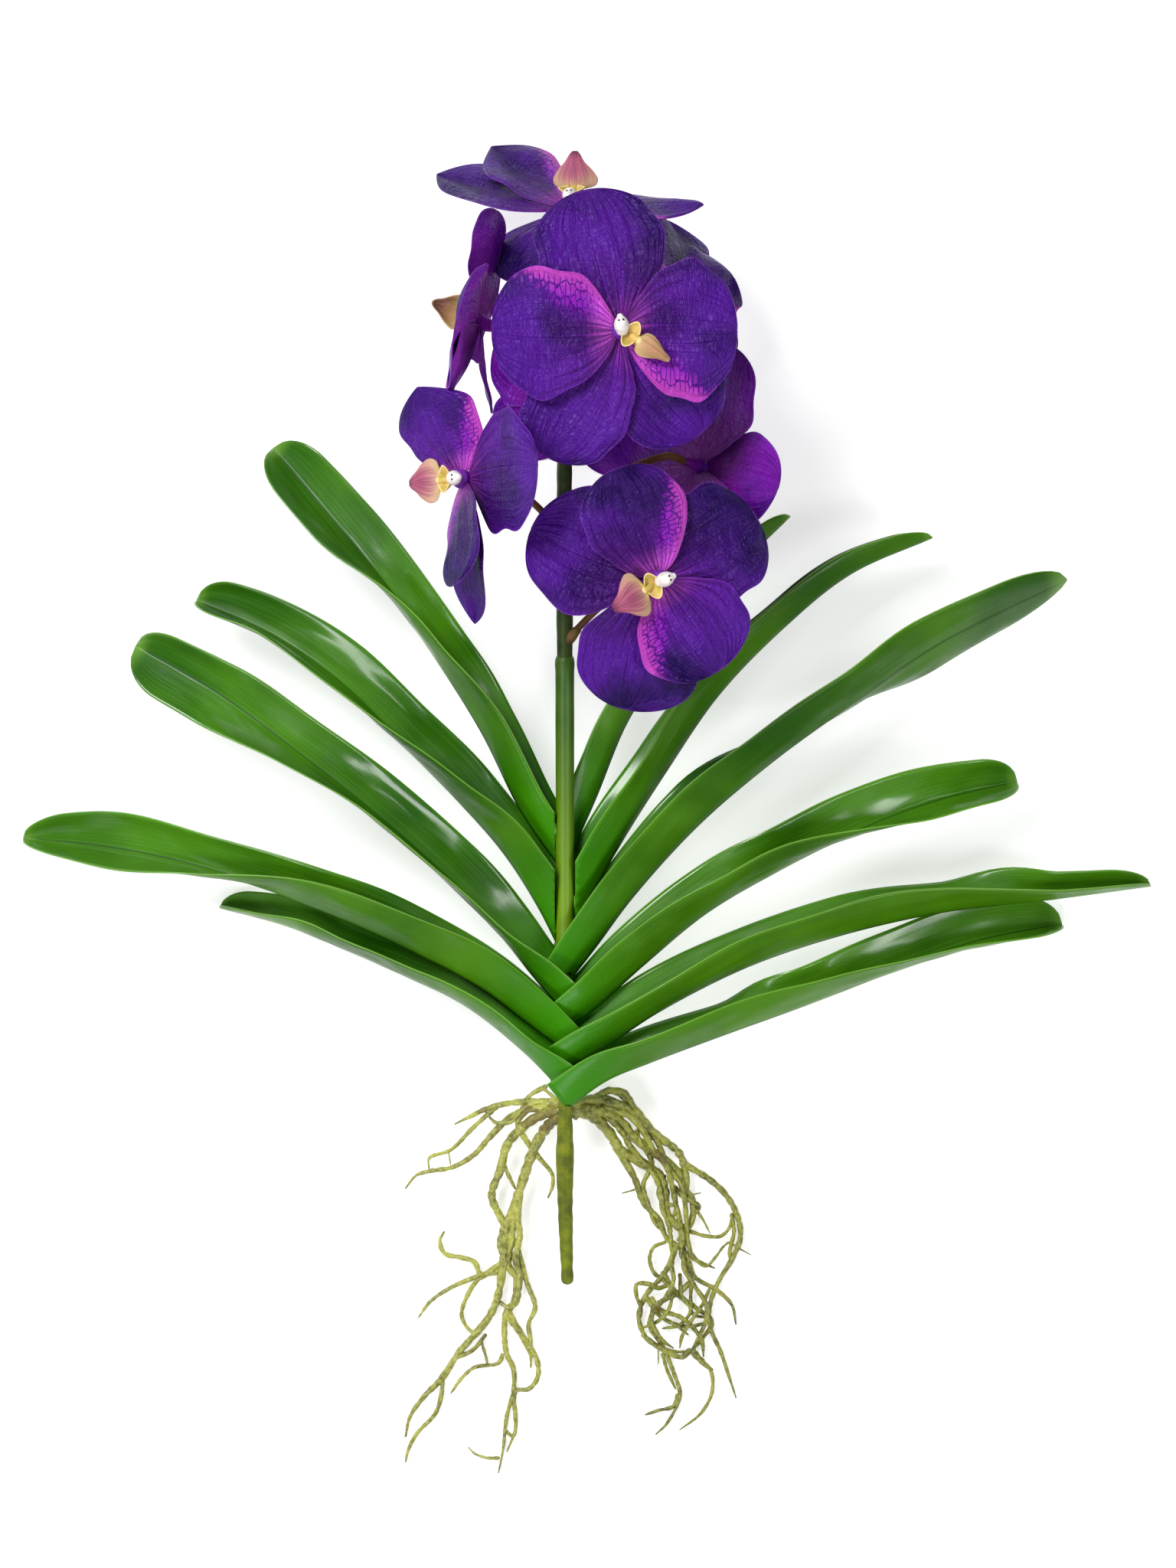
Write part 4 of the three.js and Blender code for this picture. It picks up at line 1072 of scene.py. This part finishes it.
# %% Root tables
ROOTS_LEFT = """
3.2 1.6 0 -4 3 -1 -8
2.3 1.5 0 -1 0 -12 -4 -13 -12 -4 -13 -4 -12 4 -10 3 -6 -2 -11
2.4 1.1 0 -1 -2 -7 -6 -6 -10 -5 -14 -4 -13 -4 -10 -2 -19 -2 -13 -4 -10 -15 -18 -7 -11 -8 -8 -7 -10 -2 -9
1.1 0.7 0 -57 -126 0 -5 -3 -11 -9 -10 -4 -8 -1 -5
1.9 0.7 0 -22 -40 -3 -21 -1 -13 4 -6 -1 -11 -4 -3 -1 -16 1 -5 3 -7 0 -10 -3 -11 -2 -17 -2 -10
1.3 0.8 0 -27 -94 7 -12 7 -12 0 -8 -4 -5 -6 -1 0 -17 -4 -11
1.3 0.9 0 -23 -62 5 -19 4 -12 -3 -8 1 -8 0 -12
1.4 0.9 0 -29 -72 -10 -6 -3 6 -6 2 -8 2 -2 6 2 4
1.1 0.7 0 -39 -78 -14 -6 -10 -7 -5 -7
1.1 0.8 0 -31 -76 -9 -4 -6 -9 -2 -8 4 -7 5 -1
1 0.7 0 -29 -115 -2 -4 -11 -2 -6 -5 -5 -7
1.8 0.9 0 -1 2 -12 1 -13 -1 -11 -3 -6 -3 -8 -4
1.2 0.7 0 -32 0 -10 -9 -11 -11 -10 -4 0 -5
1.7 0.8 0 -8 1 -10 -2 -8 -4 -9 -9 -7 -8 -10 -6 -11 -2 -6 -2 -5 -6
1.5 0.9 0 -17 0 -5 -7 4 -8 5 -7 7 -9 0 -6 -2 -5
"""
ROOTS_RIGHT = """
3.2 1.6 0 4 3 1 -8
2.5 1.6 0 3 0 10 -4 7 -7 6 -9 8 -5 9 -6 3 -8 1 -11 7 -8 0 -10 5 -11
2.3 1.5 0 4 1 19 -5 10 -11 18 -14 4 -9 4 -6 -1 -10 -6 -8
2.2 1.5 0 5 3 8 1 13 -4 8 -7 11 -8 8 -7 3 -11 0 -9
1.7 1.2 0 11 3 10 5 8 -5 7 -8 7 -9
1.5 0.8 0 54 -26 13 -8 8 -8 5 -10 1 -9 -4 -10 -6 -10 -4 -11 0 -10 5 -12 4 -12 3 -9
1.6 0.9 0 22 -16 10 -17 4 -11 7 -8 4 -9 8 -6 5 -12 10 -6 7 -7 2 -9
1.3 0.9 0 52 -64 -6 -13 -9 -11 -3 -10 4 -10 9 -5 12 -1
1.2 0.8 0 60 -79 -7 -7 -9 -5 -5 -10 6 -10 5 -12 3 -11 -6 -13 -5 -5
1 0.7 0 52 -134 -2 -5 -7 -2 -6 -2
1.2 0.7 0 45 -77 7 -10 8 -6 8 -7 -5 -8 -4 -6 8 -8 1 -10 -5 -10 -10 -8
1.1 0.8 0 37 -88 8 -10 11 -4 11 2
"""
print("roots:", sum(table.count("\n") - 1 for table in (ROOTS_LEFT, ROOTS_RIGHT)))

# %% [markdown]
# Between these roots run thinner ones, which the solids leave out.

# %% Thin root tables
TENDRILS_LEFT = """
1.2 0.8 2 -4 4 -9 -1 -8 -5 -3 -4 -8 -1 -5 5
0.9 0.8 2 -10 9 4 -3 3 -3
1.1 0.9 1 -9 10 -7 -4 -3 -4 -2 -6
1 0.8 1 -29 -20 1 -7 3 -7 2 -4
0.4 0.3 0 -54 -21 1 -6
1.6 1.2 3 -21 -41 -1 -9 1 -10 -2 -10 2 -9 -2 -10 -3 -7
1.7 1.3 1 -28 -55 -2 -8 2 -9 -2 -8
0.9 0.8 0 -31 -77 -6 -1 -4 0
0.9 0.7 1 -23 -78 -1 -11 -3 -7 6 -10 5 -10 0 -5
0.9 0.8 2 -30 -91 4 -2 3 1
0.8 0.5 1 -39 -109 2 -6 1 -5
0.8 0.4 0 -31 -163 -5 0 -6 2 -3 3
0.8 0.7 1 -28 -150 4 -3 1 5 -1 7
1 0.7 2 -37 -106 -6 -7 -8 -4 -8 -10 -7 -9
"""
TENDRILS_RIGHT = """
1.4 1.1 3 10 1 9 -5 7 -7 4 -7 6 -7 5 -6 3 -8 1 -8 3 -8 1 -10 1 -8
1.5 1.1 5 13 2 9 -3 8 -3 6 -7 5 -9 5 -6 3 -9 2 -9 2 -9 2 -10
1.6 1.2 2 16 5 9 -3 6 -5 4 -7 5 -5
1.5 1.3 1 20 8 7 -1 4 -6 4 -7 4 -5 6 -5
1.3 0.9 4 39 -11 4 -6 2 -6 3 -6 5 -6 2 -7 1 -11 1 -10 2 -7 6 -3 4 -2
1.1 1 1 36 -18 4 -8 -4 -10 2 -8 3 -9 4 -5
0.9 0.9 2 46 -32 -3 -8 3 -5 5 -1 -2 -8
1.2 1 3 50 -37 4 -4 5 -3 3 -2 -3 -5
0.7 0.4 1 60 -47 4 -6 3 -6
0.9 0.8 1 58 -58 7 -2 7 0 4 4 1 5
1 0.4 2 55 -55 2 -10 3 -5 5 -4 5 5 3 4 3 2 3 -2 7 -4
0.9 0.9 1 77 -50 1 -8 -2 -10 1 -5
0.9 0.9 1 46 -63 -5 -2 -2 -5 2 -7 4 -3
1.1 0.8 4 49 -82 -6 -2 -4 2 -6 0 0 -6 2 -5 -1 -8
0.9 0.8 6 45 -80 4 -5 -1 -8 -5 -6 -8 -4
1 1 5 40 -89 4 -5 9 -3 6 -5 4 -6 1 -8
0.9 0.8 3 53 -78 1 -10 4 -6 -5 -7 -8 -2
0.9 0.8 2 59 -78 -1 -10 1 -8 6 -2
0.9 0.8 6 67 -84 -4 -8 -5 -7 -4 -7 -1 -6
1.1 1.4 2 36 -106 5 -4 5 -3 8 -3 4 3 7 -7 3 -2
0.8 0.7 1 45 -115 2 -7 4 -9
0.4 0.3 0 43 -110 0 -7 0 -3
0.7 0.6 4 45 -98 6 -3 6 -5
1.1 0.9 8 50 -65 -1 -8 1 -7 -4 -8 -5 -4 -1 -7 5 -9 5 -4
1.1 0.9 7 55 -66 0 -9 5 -8 5 -8 0 -7 -3 -8 -3 -6
0.5 0.35 0 33 -38 -3 -1 -4 -1
0.4 0.3 0 58 -41 5 1
1 1 2 43 -17 5 -9 6 -4
1.1 1 3 33 -11 2 -6 6 -5
"""
print("thin roots:", sum(table.count("\n") - 1 for table in (TENDRILS_LEFT, TENDRILS_RIGHT)))

# %% Roots
CROWN_HEIGHT = 22  # how high above the floor the roots leave the crown
SINKS_WITHIN = 34
KNOB_EVERY = 7
THIN_SEEDS = 50  # the random shapes of the thin roots are counted from here


def root_part(row, seed):
    thick, thin, lift = row[:3]
    points = np.cumsum(row[3:].reshape(-1, 2), axis=0)
    share = np.linspace(0, 1, len(points))
    high = CROWN_HEIGHT * np.exp(-np.hypot(points[:, 0], points[:, 1]) / SINKS_WITHIN)
    height = 0.5 + (thick + (thin - thick) * share) + high + lift * np.sin(math.pi * share)
    route = np.column_stack([points, height])
    length = even_route(route, [0, 1])[1]

    def knobs(p):
        beat = p * length / KNOB_EVERY + 0.7 * uneven(p * length / 30, 0, seed)
        ring = np.abs(np.sin(beat * math.pi))
        rough = 0.05 * uneven(p * length / 3, 0, seed + 7)
        taper = 1 - 0.6 * np.clip((p - 0.8) / 0.2, 0, 1) ** 2
        return (0.98 + 0.2 * ring**1.5 - 0.16 * (1 - ring) ** 6 - rough) * taper

    return strand(route, [thick, thin], 10, max(int(length / 1.1), 6), knobs)


def root_piece(name, table, thin_table, finish):
    parts = []
    for text, first_seed in ((table, 0), (thin_table, THIN_SEEDS)):
        for seed, line in enumerate(text.strip().splitlines(), first_seed):
            parts.append(root_part(numbers(line), seed))
    made = piece(name, parts, finish, name)
    print(name, len(made.data.polygons), "faces")


root_piece("roots_left", ROOTS_LEFT, TENDRILS_LEFT, ROOT_LEFT)
root_piece("roots_right", ROOTS_RIGHT, TENDRILS_RIGHT, SHADED_ROOT_RIGHT)

# %% [markdown]
# ## Floor
#
# The floor is a plain pale sheet that belongs to the studio and not to the plant.

# %% Floor
FLOOR_HALF = 4  # in metres
floor_mesh = bpy.data.meshes.new("floor")
corners = [(x * FLOOR_HALF, y * FLOOR_HALF, 0) for x, y in ((-1, -1), (1, -1), (1, 1), (-1, 1))]
floor_mesh.from_pydata(corners, [], [(0, 1, 2, 3)])
floor_mesh.materials.append(FLOOR)
floor = bpy.data.objects.new("floor", floor_mesh)
scene.collection.objects.link(floor)
print("floor width in m:", 2 * FLOOR_HALF)
